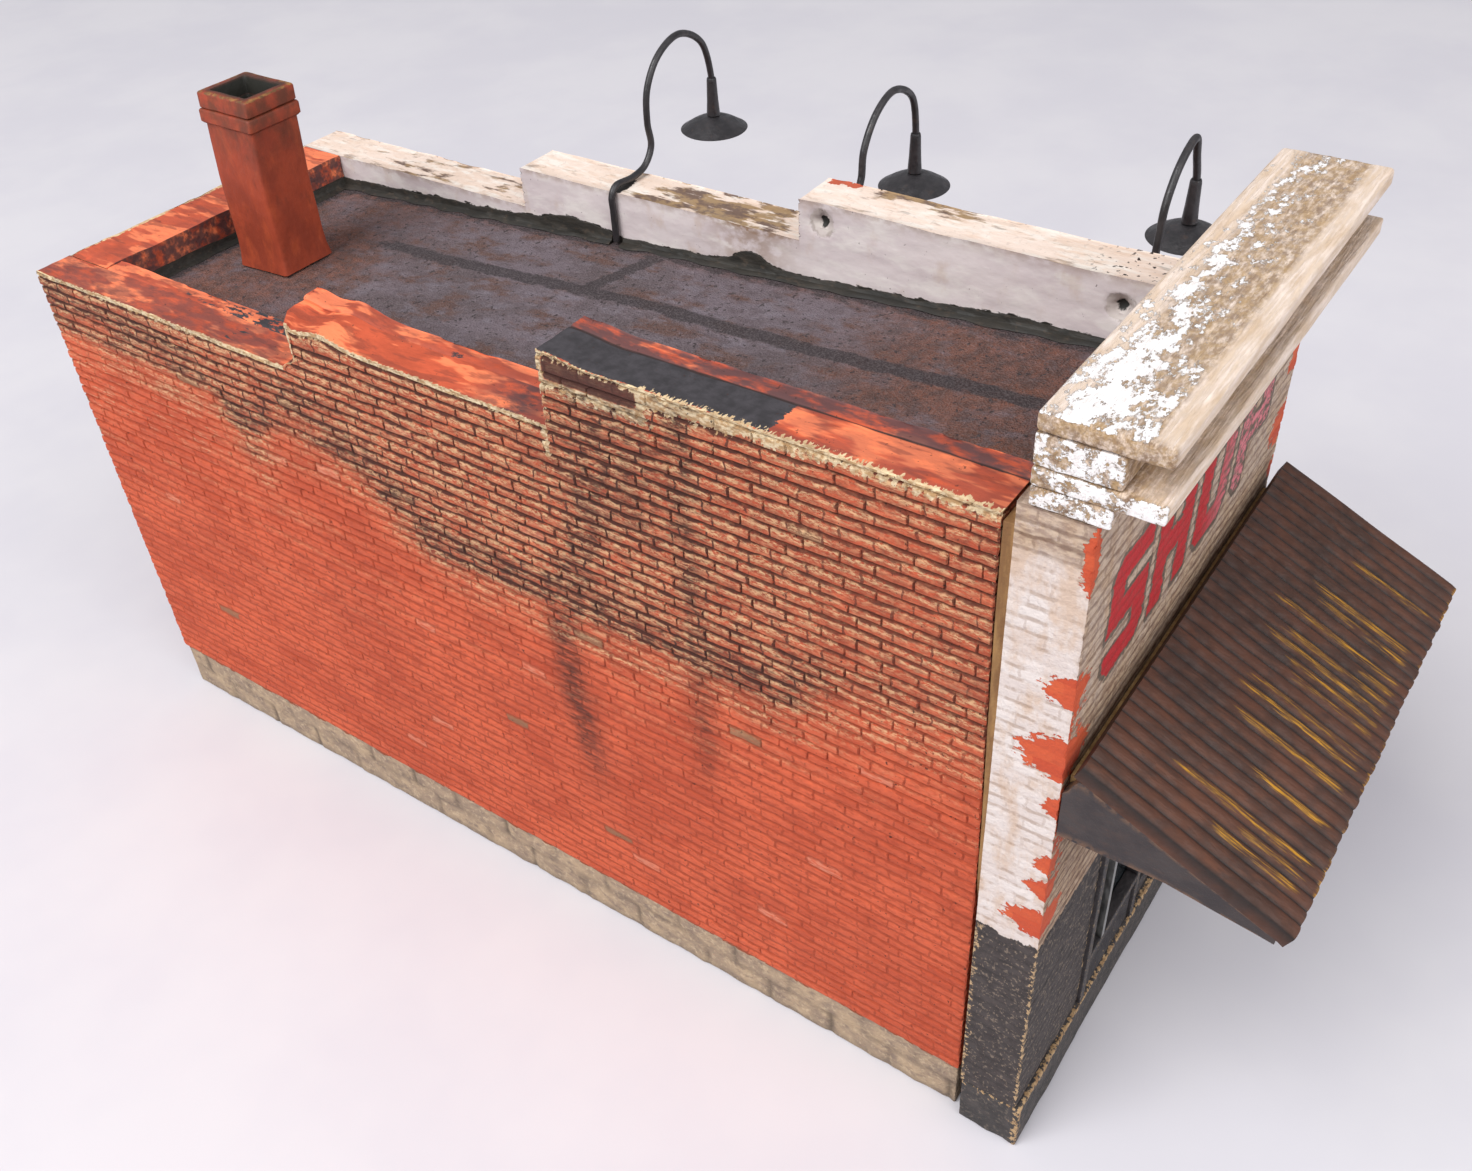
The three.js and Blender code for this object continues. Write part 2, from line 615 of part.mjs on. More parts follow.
// The last stretch of a wire, over its shoulder and down into the sleeve above the head.
function intoSleeve(head, shoulder, wallZ) {
  return [
    [head.x - shoulder.back, wallZ + shoulder.up],
    [head.x, head.z + SLEEVE_LENGTH + WIRE_CLEARANCE],
    [head.x, head.z + SLEEVE_LENGTH - WIRE_IN_SLEEVE],
  ];
}

function buildLamp(name, y, head, points, steps) {
  add(`${name}_arm`, bentWire(points, y, steps), lampPaint);
  add(`${name}_sleeve`, sleeve(head.x, y, head.z), lampPaint);
  add(`${name}_shade`, shade(head.x, y, head.z), lampPaint);
}

// Wire that comes straight out of the wall, loops up and over, and ends in its sleeve.
function pluggedLamp(name, y, holeZ, level, head) {
  const root = PLUGGED_ROOT.map(([across, up]) => [WIDTH + across, holeZ + up]);
  const loop = PLUGGED_LOOP.map(([across, up]) => [WIDTH + across, level + up]);
  buildLamp(name, y, head, [...root, ...loop, ...intoSleeve(head, PLUGGED_SHOULDER, level)], 44);
}

// Wire that climbs the parapet's inner face, lies over its top and rises from the outer edge.
function hookedLamp(name, y, head) {
  const lift = WIRE_RADIUS + WIRE_CLEARANCE;
  const inside = RIGHT_INNER - lift;
  const top = Z_MID + lift;
  const climb = [
    [inside, roofHeight(y) + 0.15],
    [inside, top - 1.5],
    [inside, top - 0.5],
    [inside + 0.5, top + 0.1],
  ];
  const route = HOOKED_ROUTE.map(([across, up]) => [WIDTH + across, top + up]);
  buildLamp(name, y, head, [...climb, ...route, ...intoSleeve(head, HOOKED_SHOULDER, top)], 60);
}

function buildLamps() {
  hookedLamp('lamp_rear', LAMP_REAR_Y, LAMP_REAR_HEAD);
  pluggedLamp('lamp_middle', LAMP_MIDDLE_Y, LAMP_MIDDLE_HOLE_Z, LAMP_MIDDLE_LEVEL, LAMP_MIDDLE_HEAD);
  pluggedLamp('lamp_front', LAMP_FRONT_Y, LAMP_FRONT_HOLE_Z, LAMP_FRONT_LEVEL, LAMP_FRONT_HEAD);
}

// ---------------------------------------------------------------- assembly

buildWalls();
buildFootings();
buildJointStrips();
buildCornerPosts();
buildRoof();
buildChimney();
buildFacade();
buildCornice();
buildShopfront();
buildAwning();
buildLamps();

// The origin is the middle of the whole object's footprint, on the ground.
const extent = new THREE.Box3().setFromObject(building);
const centre = extent.getCenter(new THREE.Vector3());
building.position.set(-centre.x, -centre.y, 0);

const shop = new THREE.Group();
shop.add(building);

export default shop;
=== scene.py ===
"""Looks for a model railway shop building in HO scale: cast brick walls painted and weathered, timber
strips, tarred roof paper, a corrugated awning and three bent-wire gooseneck lamps.

Every length is in the building's own millimetres until piece() puts it into the frame: x = 0 is the
outer face of the left wall, y = 0 the front end of the side walls, z = 0 the ground."""

import itertools
import math

import bpy
import numpy as np
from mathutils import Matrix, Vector


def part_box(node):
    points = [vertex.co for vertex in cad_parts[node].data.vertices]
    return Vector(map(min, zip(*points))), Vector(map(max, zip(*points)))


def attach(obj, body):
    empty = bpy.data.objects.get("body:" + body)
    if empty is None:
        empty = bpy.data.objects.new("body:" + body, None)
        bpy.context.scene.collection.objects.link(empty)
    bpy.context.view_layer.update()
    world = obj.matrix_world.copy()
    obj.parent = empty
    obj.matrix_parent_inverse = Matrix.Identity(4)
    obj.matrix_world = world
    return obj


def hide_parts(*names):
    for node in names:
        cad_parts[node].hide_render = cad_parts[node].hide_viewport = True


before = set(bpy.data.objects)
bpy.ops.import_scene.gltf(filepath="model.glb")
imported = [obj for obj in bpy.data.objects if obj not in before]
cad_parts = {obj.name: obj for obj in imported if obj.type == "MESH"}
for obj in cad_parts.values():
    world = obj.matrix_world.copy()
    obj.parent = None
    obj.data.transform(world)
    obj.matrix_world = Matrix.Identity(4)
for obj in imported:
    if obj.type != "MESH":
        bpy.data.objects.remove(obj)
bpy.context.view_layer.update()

MM = 0.001
ORIGIN = np.array([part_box("left_wall")[0].x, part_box("left_wall")[0].y, 0.0])


def span(node):
    """Lowest and highest corner of a CAD node, in the building's millimetres."""
    return [(np.array(corner) - ORIGIN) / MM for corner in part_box(node)]


# ---------------------------------------------------------------- sizes

COURSE = 0.78  # one brick course with its joint
BRICK = 2.2  # one stretcher with its joint
HALF = BRICK / 2
JOINT = 0.085  # half the width of an upright joint
BED = 0.13  # half the width of a level one
LEFT_LOW, LEFT_HIGH = span("left_wall")
RIGHT_LOW, RIGHT_HIGH = span("right_wall")
REAR_LOW, REAR_HIGH = span("rear_wall")
BACKING_LOW, BACKING_HIGH = span("left_parapet_backing")
FACADE_LOW, FACADE_HIGH = span("facade")
FRAME_LOW, FRAME_HIGH = span("shopfront_frame")
ROOF_LOW, ROOF_HIGH = span("roof_panel")
BASE = LEFT_LOW[2]  # top of the stone footing
LENGTH = LEFT_HIGH[1]
Z_HIGH = LEFT_HIGH[2]
Z_RIGHT = RIGHT_HIGH[2]
Z_MID = 44.55
Z_LOW = REAR_HIGH[2]
STEP_HIGH = 28.0  # where the parapets step down, from the front
STEP_MID_LEFT = 51.0
STEP_MID_RIGHT = 53.0
ROOF_FALL = 4.4 / REAR_LOW[1]
ROOF_FRONT = ROOF_HIGH[2] + ROOF_FALL * ROOF_LOW[1]
PAINT_LINE = 20.8  # black below, white above, on the shopfront's piers
WIRE = 0.25  # radius of the lamps' wire
HOOK_Y = 43.85  # where the rear lamp's wire crosses the parapet
STREAK_Y, SHORT_STREAK_Y = 28.3, 18.6  # two streaks of soot down the left wall
SPIKES_END = 21.3  # the left parapet's cream edge is ragged up to here
PANEL_MIDDLE, PANEL_HALF = 24.45, 3.15  # and behind it is a length of bare dark coping
TARRED_FROM = 13.0  # the high length's top is tarred from here back
LAMP_HOLE_Z = {"middle": 46.2, "front": 45.6}
LAMP_HOLES = [(span(f"lamp_{name}_arm")[0][1] + WIRE, z) for name, z in LAMP_HOLE_Z.items()]
PIT_DISH, PIT_HOLE = 0.95, 0.3  # radii of the broken-out places round the wires' holes
PILLOWED = (0.0, BED / COURSE, 0.5, 1 - BED / COURSE)


def roof_height(y):
    """The roof's plane, which falls evenly from front to back."""
    return ROOF_FRONT - ROOF_FALL * y


# ---------------------------------------------------------------- noise and steps

LATTICE = np.array([12.9898, 78.233, 37.719])


def noise(points, size, seed=0.0):
    """Smooth random value from -1 to 1: every corner of a lattice with that spacing has a value from the
    fractional part of a large sine, and a point takes the eased mean of the corners round it."""
    cell = np.asarray(points) / np.asarray(size)
    base = np.floor(cell)
    ease = cell - base
    ease = ease * ease * (3 - 2 * ease)
    total = 0.0
    for corner in itertools.product((0, 1), repeat=cell.shape[-1]):
        phase = (base + corner) @ LATTICE[: cell.shape[-1]] + seed
        value = np.modf(np.sin(phase) * 43758.5453)[0]
        total = total + value * np.prod(np.where(corner, ease, 1 - ease), axis=-1)
    return total


def rough(points, size, seed=0.0):
    """Three octaves of noise, each half the size and half the height of the last."""
    size = np.asarray(size, float)
    return (
        noise(points, size, seed)
        + 0.5 * noise(points, size / 2, seed + 1.7)
        + 0.25 * noise(points, size / 4, seed + 3.1)
    ) / 1.75


def ramp(value, low, high):
    """0 below low, 1 above high, eased between; low may be the larger."""
    t = np.clip((value - low) / (high - low), 0, 1)
    return t * t * (3 - 2 * t)


def bump_at(value, centre, width):
    """A bell of height 1 at the centre."""
    return np.exp(-(((value - centre) / width) ** 2))


# ---------------------------------------------------------------- meshes


def piece(
    name, points, faces, materials, nodes, paint=None, uv=None, masks=None, sharp=40,
    body="building",
):
    """One closed mesh. faces is a list of arrays, each with one row of point numbers per face; paint is a
    matching list of material numbers; masks are values per point that the materials read by name."""
    mesh = bpy.data.meshes.new(name)
    counts = np.concatenate([np.full(len(f), f.shape[1]) for f in faces])
    corners = np.concatenate([f.ravel() for f in faces])
    mesh.vertices.add(len(points))
    mesh.vertices.foreach_set("co", (np.asarray(points) * MM + ORIGIN).astype(np.float32).ravel())
    mesh.loops.add(len(corners))
    mesh.loops.foreach_set("vertex_index", corners.astype(np.int32))
    mesh.polygons.add(len(counts))
    starts = np.concatenate([[0], np.cumsum(counts)[:-1]])
    mesh.polygons.foreach_set("loop_start", starts.astype(np.int32))
    if paint is not None:
        chosen = np.concatenate([np.broadcast_to(p, len(f)) for p, f in zip(paint, faces)])
        mesh.polygons.foreach_set("material_index", chosen.astype(np.int32))
    if uv is not None:
        layer = mesh.uv_layers.new(name="courses")
        layer.data.foreach_set("uv", uv[corners].astype(np.float32).ravel())
    for key, values in (masks or {}).items():
        mask = mesh.attributes.new(key, "FLOAT", "POINT")
        mask.data.foreach_set("value", np.broadcast_to(values, len(points)).astype(np.float32))
    mesh.update(calc_edges=True)
    mesh.polygons.foreach_set("use_smooth", np.ones(len(counts), bool))
    mesh.set_sharp_from_angle(angle=math.radians(sharp))
    for material in materials:
        mesh.materials.append(material)
    thing = bpy.data.objects.new(name, mesh)
    bpy.context.scene.collection.objects.link(thing)
    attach(thing, body)
    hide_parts(*nodes)


def quads(grid):
    """Faces of a grid of point numbers, wound row by row."""
    return np.stack([grid[:-1, :-1], grid[:-1, 1:], grid[1:, 1:], grid[1:, :-1]], -1).reshape(-1, 4)


def outward(points, faces):
    """The same faces, turned round if the solid that they close has a negative volume."""
    volume = 0.0
    for f in faces:
        first = points[f[:, 0]]
        for k in range(1, f.shape[1] - 1):
            volume += np.sum(first * np.cross(points[f[:, k]], points[f[:, k + 1]]))
    return faces if volume > 0 else [f[:, ::-1] for f in faces]


def slab(top, bottom):
    """Points and faces of a closed sheet between two grids of the same shape, joined round their edge."""
    rows, cols = top.shape[:2]
    upper = np.arange(rows * cols).reshape(rows, cols)
    lower = upper + rows * cols
    sides = [
        np.stack([lower[0], upper[0]]),
        np.stack([upper[-1], lower[-1]]),
        np.stack([upper[:, 0], lower[:, 0]]),
        np.stack([lower[:, -1], upper[:, -1]]),
    ]
    points = np.concatenate([top.reshape(-1, 3), bottom.reshape(-1, 3)])
    faces = [quads(upper), quads(lower)[:, ::-1]] + [quads(side) for side in sides]
    return points, outward(points, faces)


def steps_along(low, high, radius, spacing):
    """Stations from low to high: three in each rounded end and even ones between."""
    inner = np.linspace(
        low + radius, high - radius, max(2, round((high - low - 2 * radius) / spacing) + 1)
    )
    curve = radius * (1 - np.cos(np.linspace(0, math.pi / 2, 4)[:-1]))
    return np.concatenate([low + curve, inner, high - curve[::-1]])


def soft_block(low, high, radius=0.12, spacing=0.6, depth=0.0, grain=(1, 1, 1), seed=0.0):
    """A box with rounded edges and an uneven skin. Each point of a grid on the box's surface moves to the
    ball of that radius round the nearest point of the smaller box inside, and noise sinks it by up to
    depth."""
    low, high = np.asarray(low, float), np.asarray(high, float)
    axes = [steps_along(low[k], high[k], radius, spacing) for k in range(3)]
    points, faces, start = [], [], 0
    for axis, end in itertools.product(range(3), (0, 1)):
        a, b = (axis + 1) % 3, (axis + 2) % 3
        grid_a, grid_b = np.meshgrid(axes[a], axes[b], indexing="ij")
        side = np.empty(grid_a.shape + (3,))
        side[..., a], side[..., b], side[..., axis] = grid_a, grid_b, (low, high)[end][axis]
        index = start + np.arange(grid_a.size).reshape(grid_a.shape)
        face = quads(index)
        faces.append(face if not end else face[:, ::-1])
        points.append(side.reshape(-1, 3))
        start += grid_a.size
    points = np.concatenate(points)
    core = np.clip(points, low + radius, high - radius)
    away = points - core
    away /= np.maximum(np.linalg.norm(away, axis=1, keepdims=True), 1e-9)
    points = core + away * radius
    sink = depth * (0.5 + 0.5 * rough(points, grain, seed))
    points = points - away * sink[:, None]
    kept, first, where = np.unique(np.round(points, 5), axis=0, return_index=True, return_inverse=True)
    faces = [where.ravel()[f] for f in faces]
    return points[first], outward(points[first], faces)


# ---------------------------------------------------------------- brick castings


def with_stations(stations, exact):
    """The stations with each exact one put in and its near neighbours taken out."""
    exact = np.array(exact, float)
    kept = stations[np.abs(stations[:, None] - exact).min(axis=1) > 0.045]
    return np.sort(np.concatenate([kept, exact]))


def brick_columns(start, end):
    """Stations along a wall: the middle and sides of every joint a brick could have, and two between."""
    cell = np.array([0, JOINT, HALF * 0.38, HALF * 0.66, HALF - JOINT])
    first, last = math.floor(start / HALF), math.ceil(end / HALF)
    every = (np.arange(first, last + 1)[:, None] * HALF + cell).ravel()
    inside = every[(every > start + 0.03) & (every < end - 0.03)]
    return np.concatenate([[start], inside, [end]])


def brick_rows(height, share=(0.0, BED / COURSE, 1 - BED / COURSE)):
    """Heights above the lowest joint: at these shares of every course, and the top."""
    every = (np.arange(math.ceil(height / COURSE))[:, None] + np.array(share)).ravel() * COURSE
    return with_stations(every[every < height], [height])


def random_of(a, b, seed=0.0):
    """A random value from 0 to 1 for every pair of whole numbers."""
    return np.abs(np.modf(np.sin(a * 12.9898 + b * 78.233 + seed) * 43758.5453)[0])


def brick_depth(u, v, joint_depth):
    """How far the brick face lies behind the wall plane: the joint's depth within a joint, some upright
    joints being filled, and elsewhere a little that differs from brick to brick."""
    course = np.floor(v / COURSE + 1e-6)
    shift = np.where(course % 2 == 0, HALF, 0.0)
    along = (u + shift) / BRICK
    brick = np.floor(along + 1e-6)
    to_head = np.abs(along - np.round(along)) * BRICK
    to_bed = np.abs(v / COURSE - np.round(v / COURSE)) * COURSE
    open_head = 0.75 * ramp(random_of(course, np.round(along), 11.0), 0.25, 0.6)
    in_joint = np.maximum(ramp(to_bed, BED * 1.15, 0.02), ramp(to_head, JOINT, 0) * open_head)
    face = 0.05 * random_of(course, brick) + 0.03 * random_of(course, brick, 5.0) * (
        u - np.floor(u / HALF) * HALF
    )
    return face * (1 - in_joint) + joint_depth * in_joint


def casting(outline, columns, rows, depths, place, joint_depth, inner=None, seed=0.0, edge_joints=1.0):
    """A slab whose outer face is brickwork. The face is a grid of columns and rows inside an outline of
    right angles; its edge is carried straight back to each depth in turn, keeping the courses' grooves on
    upright edges, and a flat face closes it, or above the height inner a second grid of even stations.
    place turns (along, depth, height) into the building's axes. Returns points, faces, paint, uv, the
    (along, depth, height) of each point and whether it lies behind the face."""
    corners = [(int(np.abs(columns - u).argmin()), int(np.abs(rows - z).argmin())) for u, z in outline]
    wide, tall = len(columns), len(rows)
    inside = np.zeros((tall - 1, wide - 1), bool)
    runs, kinds = [], []
    for (c0, r0), (c1, r1) in zip(corners, corners[1:] + corners[:1]):
        count = abs(c1 - c0) + abs(r1 - r0)
        t = np.arange(count)
        runs.append(np.stack([c0 + np.sign(c1 - c0) * t, r0 + np.sign(r1 - r0) * t], 1))
        upright = c0 == c1
        kinds.append(np.full(count, 0 if upright else (1 if c1 < c0 else 2)))
        if upright:
            inside[min(r0, r1) : max(r0, r1), c0:] ^= True
    loop, kinds = np.concatenate(runs), np.concatenate(kinds)

    u, z = np.meshgrid(columns, rows)
    flat = np.stack([u, z], -1)
    number = np.arange(u.size).reshape(u.shape)
    cells = quads(number).reshape(tall - 1, wide - 1, 4)[inside]
    used = np.unique(cells)
    renumber = np.full(u.size, -1)
    renumber[used] = np.arange(len(used))
    cells = renumber[cells]
    edge = renumber[number[loop[:, 1], loop[:, 0]]]

    # Each course slides along by its own wandering amount, so that no two bricks are the same length.
    course = np.floor(z / COURSE + 1e-6)
    slide = noise(np.stack([u / 3.0, course], -1), 1.0, seed + 6)
    under = noise(np.stack([u / 3.0, course - 1], -1), 1.0, seed + 6)
    in_bed = np.abs(z / COURSE - np.round(z / COURSE)) * COURSE < 0.02
    slide = 0.45 * np.where(in_bed, (slide + under) / 2, slide)
    warp = np.stack([slide, 0.09 * noise(flat, (1.9, 0.9), seed + 2)], -1)
    ends = np.array([place for place, _ in outline])
    border = np.abs(u[..., None] - ends).min(axis=-1)
    warp *= ramp(border, 0.0, 1.2)[..., None] * ramp(z, rows[0], rows[0] + 0.5)[..., None]
    moved = (flat + warp).reshape(-1, 2)[used]
    ideal = flat.reshape(-1, 2)[used]
    sunk = brick_depth(ideal[:, 0], ideal[:, 1], joint_depth(ideal))
    sunk = sunk + 0.03 * (1 + rough(ideal, (1.1, 0.5), seed + 3))
    chip = 0.06 + 0.16 * ramp(noise(ideal, (0.8, 0.7), seed + 4), 0.1, 0.8)
    sunk[edge] = np.maximum(sunk[edge], chip[edge])
    local = [np.stack([moved[:, 0], sunk, moved[:, 1]], 1)]
    uv = [ideal]

    ahead, behind = np.roll(moved[edge], -1, 0), np.roll(moved[edge], 1, 0)
    tangent = ahead - behind
    inward = np.stack([-tangent[:, 1], tangent[:, 0]], 1)
    inward /= np.linalg.norm(inward, axis=1, keepdims=True)
    on_joint = ramp(np.abs(ideal[edge, 1] / COURSE - np.round(ideal[edge, 1] / COURSE)) * COURSE, BED, 0)
    upright_point = np.abs(inward[:, 0]) > 0.9
    faces, paint = [cells], [np.zeros(len(cells), int)]
    last = edge
    total = len(used)
    for k, depth in enumerate(depths):
        here = np.stack([ideal[edge, 0], np.full(len(edge), depth), ideal[edge, 1]], 1)
        lump = 0.05 * (1 + rough(here, (1.4, 0.8, 1.0), seed + 5)) * (
            k < len(depths) - 1 or inner is None
        )
        groove = np.where(upright_point, edge_joints * on_joint * joint_depth(ideal[edge]), 0)
        inset = lump + groove
        plane = moved[edge] + inward * inset[:, None]
        local.append(np.stack([plane[:, 0], np.full(len(edge), depth), plane[:, 1]], 1))
        sideways = np.where(upright_point, -np.sign(inward[:, 0]) * depth, 0)
        uv.append(ideal[edge] + np.stack([sideways, np.where(upright_point, 0, depth)], 1))
        ring = total + np.arange(len(edge))
        total += len(edge)
        faces.append(np.stack([last, ring, np.roll(ring, -1), np.roll(last, -1)], 1))
        paint.append(kinds)
        last = ring
    if inner is None:
        faces.append(last[None, ::-1])
        paint.append(np.array([3]))
    else:
        build_inner(local, uv, faces, paint, last, loop, columns, rows, inside, depths[-1], inner)
    local = np.concatenate(local)
    return place(local), faces, paint, np.concatenate(uv), local, np.arange(len(local)) >= len(used)


def build_inner(local, uv, faces, paint, ring, loop, columns, rows, inside, depth, inner):
    """Closes a casting's back: a grid of the ring's own columns above the row nearest the height inner,
    with its heights spread evenly up each column, and one flat face below it."""
    base = int(np.abs(rows - inner).argmin())
    lookup = {(int(c), int(r)): int(n) for (c, r), n in zip(loop, ring)}
    wide = len(columns)
    top = np.array([rows.size - 1 - int(np.argmax(col[::-1])) if col.any() else 0 for col in inside.T])
    column_top = np.maximum(np.append(top, top[-1]), np.insert(top, 0, top[0]))
    count = sum(len(part) for part in local)
    grid = np.full((len(rows), wide), -1)
    fresh = []
    for c in range(wide):
        for r in range(base, column_top[c] + 1):
            known = lookup.get((c, r))
            if known is None:
                grid[r, c] = count + len(fresh)
                fresh.append((columns[c], depth, rows[r]))
            else:
                grid[r, c] = known
    local.append(np.array(fresh))
    uv.append(np.array(fresh)[:, [0, 2]])
    upper = inside.copy()
    upper[:base] = False
    cells = quads(grid).reshape(len(rows) - 1, wide - 1, 4)[upper]
    faces.append(cells[:, ::-1])
    paint.append(np.full(len(cells), 3))
    below = loop[:, 1] <= base
    start = int(np.flatnonzero(below & ~np.roll(below, 1))[0])
    order = np.roll(np.arange(len(loop)), -start)
    order = order[below[order]]
    across = grid[base, 1:-1]
    first_column = loop[order[-1], 0]
    across = across if first_column == 0 else across[::-1]
    faces.append(np.concatenate([ring[order], across])[None, ::-1])
    paint.append(np.array([3]))


# ---------------------------------------------------------------- material nodes


def rgba(code):
    """An sRGB hex value as linear red, green, blue and alpha."""
    parts = [int(code[k : k + 2], 16) / 255 for k in (1, 3, 5)]
    return tuple(p / 12.92 if p <= 0.04045 else ((p + 0.055) / 1.055) ** 2.4 for p in parts) + (1.0,)


# What a word after a kind of node sets, its usual setting, its inputs in the order that they are given, and
# the output that is wanted.
WORDS = {"Math": "operation", "VectorMath": "operation", "Attribute": "attribute_name", "UVMap": "uv_map"}
SETTINGS = {"Mix": {"data_type": "RGBA"}, "MapRange": {"interpolation_type": "SMOOTHSTEP"}}
INPUTS = {"Mix": (0, 6, 7)}
OUTPUTS = {"Mix": 2, "Attribute": 2}


def node(tree, kind, *values, out=None, **named):
    """Adds a node and gives back one output. Values go to its inputs in order. A name in small letters is
    a setting, any other an input, _ standing for a space. A hex code is a colour."""
    kind, _, word = kind.partition(" ")
    made = tree.nodes.new("ShaderNode" + kind)
    if word:
        setattr(made, WORDS[kind], word)
    for key, value in SETTINGS.get(kind, {}).items():
        setattr(made, key, value)
    given = list(zip(INPUTS.get(kind, range(len(values))), values))
    for key, value in named.items():
        if key[0].islower():
            setattr(made, key, value)
        else:
            given.append((key.replace("_", " "), value))
    for key, value in given:
        if isinstance(value, bpy.types.NodeSocket):
            tree.links.new(value, made.inputs[key])
        else:
            made.inputs[key].default_value = rgba(value) if isinstance(value, str) else value
    return made.outputs[OUTPUTS.get(kind, 0) if out is None else out]


class Finish:
    """A material being made: coats of colour laid one over another, and the patterns that they follow,
    measured in the building's millimetres."""

    def __init__(self, name, roughness, metallic=0.0, **settings):
        self.material = bpy.data.materials.new(name)
        self.material.use_nodes = True
        self.tree = self.material.node_tree
        self.shader = self.tree.nodes["Principled BSDF"]
        self.shader.inputs["Roughness"].default_value = roughness
        self.shader.inputs["Metallic"].default_value = metallic
        for key, value in settings.items():
            self.shader.inputs[key.replace("_", " ")].default_value = value
        scaled = self.add("VectorMath SCALE", self.add("TexCoord", out="Object"), Scale=1 / MM)
        self.place = self.add("VectorMath ADD", scaled, tuple(-ORIGIN / MM))
        self.x, self.y, self.z = self.add("SeparateXYZ", self.place).node.outputs

    def add(self, kind, *values, **named):
        return node(self.tree, kind, *values, **named)

    def coat(self, colour, *where):
        """Lays a colour over the last, as far as the product of these values is 1."""
        self.colour = self.add("Mix", self.times(*where), self.colour, colour)

    def times(self, *factors):
        """The product of several values."""
        value = factors[0]
        for factor in factors[1:]:
            value = self.add("Math MULTIPLY", value, factor)
        return value

    def grain(self, size, detail=4.0, rough=0.5, out=0):
        """Noise drawn on coordinates divided by a size in mm along each axis, so that it has that grain."""
        place = self.add("VectorMath MULTIPLY", self.place, tuple(1 / s for s in size))
        return self.add("TexNoise", Vector=place, Scale=1.0, Detail=detail, Roughness=rough, out=out)

    def spots(self, size, low, high, detail=4.0, rough=0.6):
        """Noise of a grain size in mm, or one per axis, stretched so that low gives 0 and high 1."""
        size = (size,) * 3 if isinstance(size, (int, float)) else size
        return self.add("MapRange", self.grain(size, detail, rough), low, high)

    def ragged(self, mask, size, amount):
        """A mask plus noise about zero, to be cut off at a level for a ragged edge."""
        wave = self.add("Math SUBTRACT", self.spots(size, 0.3, 0.7, 5.0), 0.5)
        return self.add("Math ADD", mask, self.times(wave, amount))

    def frayed(self, size):
        """1 within the worn edge: the mask past_edge runs through zero at its line, in mm, and noise of
        the width that the mask fray gives moves the line."""
        wave = self.add("Math SUBTRACT", self.spots(size, 0.3, 0.7), 0.5)
        moved = self.times(wave, self.add("Attribute fray"))
        line = self.add("Math ADD", self.add("Attribute past_edge"), moved)
        return self.add("MapRange", line, 0.04, -0.04)

    def bricks(self):
        """The courses pattern, its outlines a little crooked: bed joints, upright joints, a random value
        per brick and the share of the way up its course."""
        waves = self.grain((0.9, 0.9, 0.55), 3.0, out=1)
        centred = self.add("VectorMath SUBTRACT", waves, (0.5, 0.5, 0.5))
        moved = self.add("VectorMath MULTIPLY", centred, (0.5, 0.34, 0))
        courses = self.add("VectorMath ADD", self.add("UVMap courses"), moved)
        laid = {"offset": 0.5, "offset_frequency": 2, "squash": 1.0, "squash_frequency": 1}
        laid |= {"Vector": courses, "Scale": 1.0, "Brick_Width": BRICK, "Row_Height": COURSE, "Bias": 0.0}
        laid |= {"Color1": "#000000", "Color2": "#ffffff", "Mortar": "#808080", "Mortar_Smooth": 0.35}
        head = self.add("TexBrick", **laid, Mortar_Size=JOINT, out=1)
        tint = self.add("TexBrick", **laid, Mortar_Size=0.0)
        height = self.add("SeparateXYZ", courses, out=1)
        bed = self.add("MapRange", self.add("Math PINGPONG", height, COURSE / 2), BED * 1.3, BED * 0.45)
        up = self.add("Math FRACT", self.add("Math DIVIDE", height, COURSE))
        return bed, head, tint, up

    def close(self, height=None, bump=0.05, roughness=None):
        """Links the colour, the bump, whose height is in mm, and the roughness."""
        self.tree.links.new(self.colour, self.shader.inputs["Base Color"])
        if height is not None:
            normal = self.add("Bump", Strength=1.0, Distance=bump * MM, Height=height)
            self.tree.links.new(normal, self.shader.inputs["Normal"])
        if roughness is not None:
            self.tree.links.new(roughness, self.shader.inputs["Roughness"])
        return self.material


